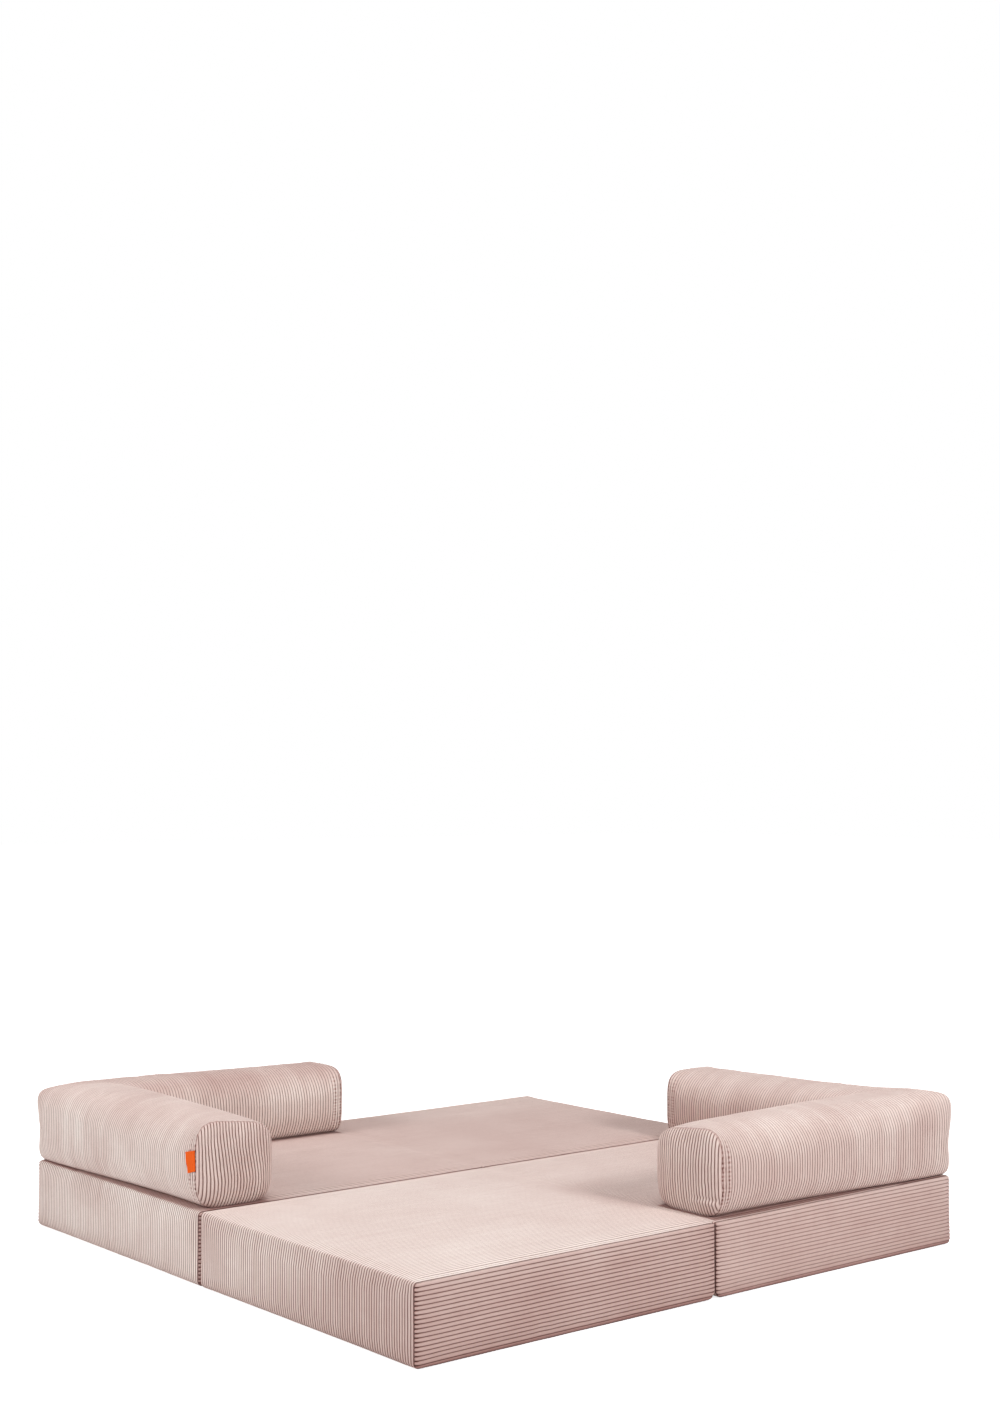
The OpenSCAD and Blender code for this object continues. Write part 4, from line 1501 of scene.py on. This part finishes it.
def make_zip(name):
    """Woven tape with its coil of teeth, two rows of stitches and a stop at each end."""
    start, length, across, out = zip_frame(name)
    low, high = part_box(f"{name}_zip")
    tape_w = max(high.y - low.y, high.z - low.z)

    def block(s0, s1, half_w, h0, h1, radius, material):
        ends = [start + Vector((s, 0, 0)) + across * c + out * h
                for s, c, h in ((s0, -half_w, h0), (s1, half_w, h1))]
        low = [min(end[k] for end in ends) for k in range(3)]
        high = [max(end[k] for end in ends) for k in range(3)]
        return low, high, radius, material

    top = TAPE_T + CHAIN_T
    piece = blocks(f"{name}_zip_chain", [
        block(0, length, tape_w / 2, 0, TAPE_T, 0.3 * MM, 0),
        block(0, STOP_LEN, STOP_W / 2, 0.1 * MM, top, 0.6 * MM, 1),
        block(length - STOP_LEN, length, STOP_W / 2, 0.1 * MM, top, 0.6 * MM, 1)],
        [ZIP_TAPE, ZIP_COIL])
    aside, up = (Vector([abs(a) for a in way]) for way in (across, out))

    def rows(size, pitch, first, row_length, off, lift, lag=0.0):
        """A row of small pieces on each side of the chain, the second one lagging behind."""
        sized = Vector((size[0], 0, 0)) + aside * size[1] + up * size[2]
        for side in (-1, 1):
            place = start + Vector((first + (side + 1) / 2 * lag, 0, 0)) + across * side * off + out * lift
            applied(piece, ROW, {"Start": tuple(place), "Length": row_length, "Pitch": pitch,
                                 "Size": tuple(sized), "Finish": ZIP_COIL})

    rows(TOOTH, TOOTH_PITCH, first=STOP_LEN + MM, off=TOOTH_ASIDE, lift=top - TOOTH[2] / 2,
         row_length=length - 2 * STOP_LEN - 2 * MM - TOOTH_PITCH / 2, lag=TOOTH_PITCH / 2)
    rows(STITCH, STITCH_PITCH, first=STITCH_MARGIN, off=tape_w / 2 - STITCH_INSET,
         lift=TAPE_T + 0.05 * MM, row_length=length - 2 * STITCH_MARGIN)
    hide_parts(f"{name}_zip")
    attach(piece, name)


def make_puller(name):
    """The flat ring that hangs from a slider, lying along its chain."""
    slider = f"{name}_zip_slider"
    low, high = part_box(slider)
    across, out = zip_frame(name)[2:]
    top = max(low.dot(out), high.dot(out))
    around, section = (np.linspace(0, 2 * math.pi, count, endpoint=False) for count in (40, 8))
    a, b = np.meshgrid(around, section, indexing="ij")
    s = PULLER_MIDDLE + (PULLER_HALF_LEN + PULLER_END_RIM * np.cos(b)) * np.cos(a)
    c = (PULLER_HALF_W + PULLER_FLARE * np.cos(a) + PULLER_SIDE_RIM * np.cos(b)) * np.sin(a)
    h = PULLER_HALF_T * np.sin(b) + PULLER_LIFT
    base = Vector(((low.x + high.x) / 2, 0, 0)) + across * ((low + high) / 2).dot(across) + out * top
    points = (np.array(base) + s[..., None] * np.array([1.0, 0, 0]) + c[..., None] * np.array(across)
              + h[..., None] * np.array(out)).reshape(-1, 3)
    faces = grid_faces(*a.shape, closed_rows=True, closed_columns=True)
    ring = new_piece(f"{name}_zip_puller", points, faces, {})
    ring.data.materials.append(ZIP_METAL)
    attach(ring, slider)
    metal = bpy.data.objects[slider]
    metal.data.materials.clear()
    metal.data.materials.append(ZIP_METAL)


for owner in (*PANELS, *BOLSTERS):
    make_zip(owner)
    make_puller(owner)


# Floor and light

def seen_directly(tree):
    """1 where the camera sees the backdrop itself, or in metal or through glass."""
    path = tree.node("ShaderNodeLightPath")
    return (path.out("Is Camera Ray") + path.out("Is Glossy Ray")
            + path.out("Is Transmission Ray")).clamp()


def make_floor():
    material, tree = shader("studio floor")
    seen = seen_directly(tree)
    plain = tree.node("ShaderNodeBsdfDiffuse", {"Color": (0.86, 0.86, 0.86, 1)})
    glow = tree.node("ShaderNodeEmission", {"Color": (1, 1, 1, 1), "Strength": 0.8})
    lifted = tree.node("ShaderNodeAddShader", {0: plain, 1: glow})
    surface = tree.node("ShaderNodeMixShader", {0: seen, 1: plain, 2: lifted})
    finish_shader(tree, surface)
    mesh = bpy.data.meshes.new("floor")
    reach = 40.0
    mesh.from_pydata([(-reach, -reach, 0), (reach, -reach, 0), (reach, reach, 0), (-reach, reach, 0)],
                     [], [(0, 1, 2, 3)])
    mesh.materials.append(material)
    floor = placed("floor", mesh)


def make_world(strength):
    world = bpy.data.worlds.new("studio")
    world.use_nodes = True
    world.node_tree.nodes.clear()
    tree = Tree(world.node_tree)
    seen = seen_directly(tree)
    dim = tree.node("ShaderNodeBackground", {"Color": (1, 0.99, 0.98, 1), "Strength": strength})
    white = tree.node("ShaderNodeBackground", {"Color": (1, 1, 1, 1), "Strength": 1.0})
    both = tree.node("ShaderNodeMixShader", {0: seen, 1: dim, 2: white})
    tree.node("ShaderNodeOutputWorld", {"Surface": both})
    bpy.context.scene.world = world


def make_lamp(name, where, target, size, watts):
    data = bpy.data.lights.new(name, "AREA")
    data.shape = "DISK"
    data.size = size
    data.energy = watts
    lamp = placed(name, data)
    lamp.location = where
    aim = Vector(target) - Vector(where)
    lamp.rotation_euler = aim.to_track_quat("-Z", "Y").to_euler()


make_floor()
make_world(0.31)
make_lamp("front", (0.8, -6.5, 3.8), (0, 0, 0.2), 2.0, 215)
make_lamp("top", (-0.5, -0.5, 7.0), (0, 0, 0.2), 5.0, 185)
make_lamp("left", (-6.5, 0.5, 4.0), (0, 0, 0.2), 3.0, 185)

bpy.context.scene.view_settings.view_transform = "Standard"
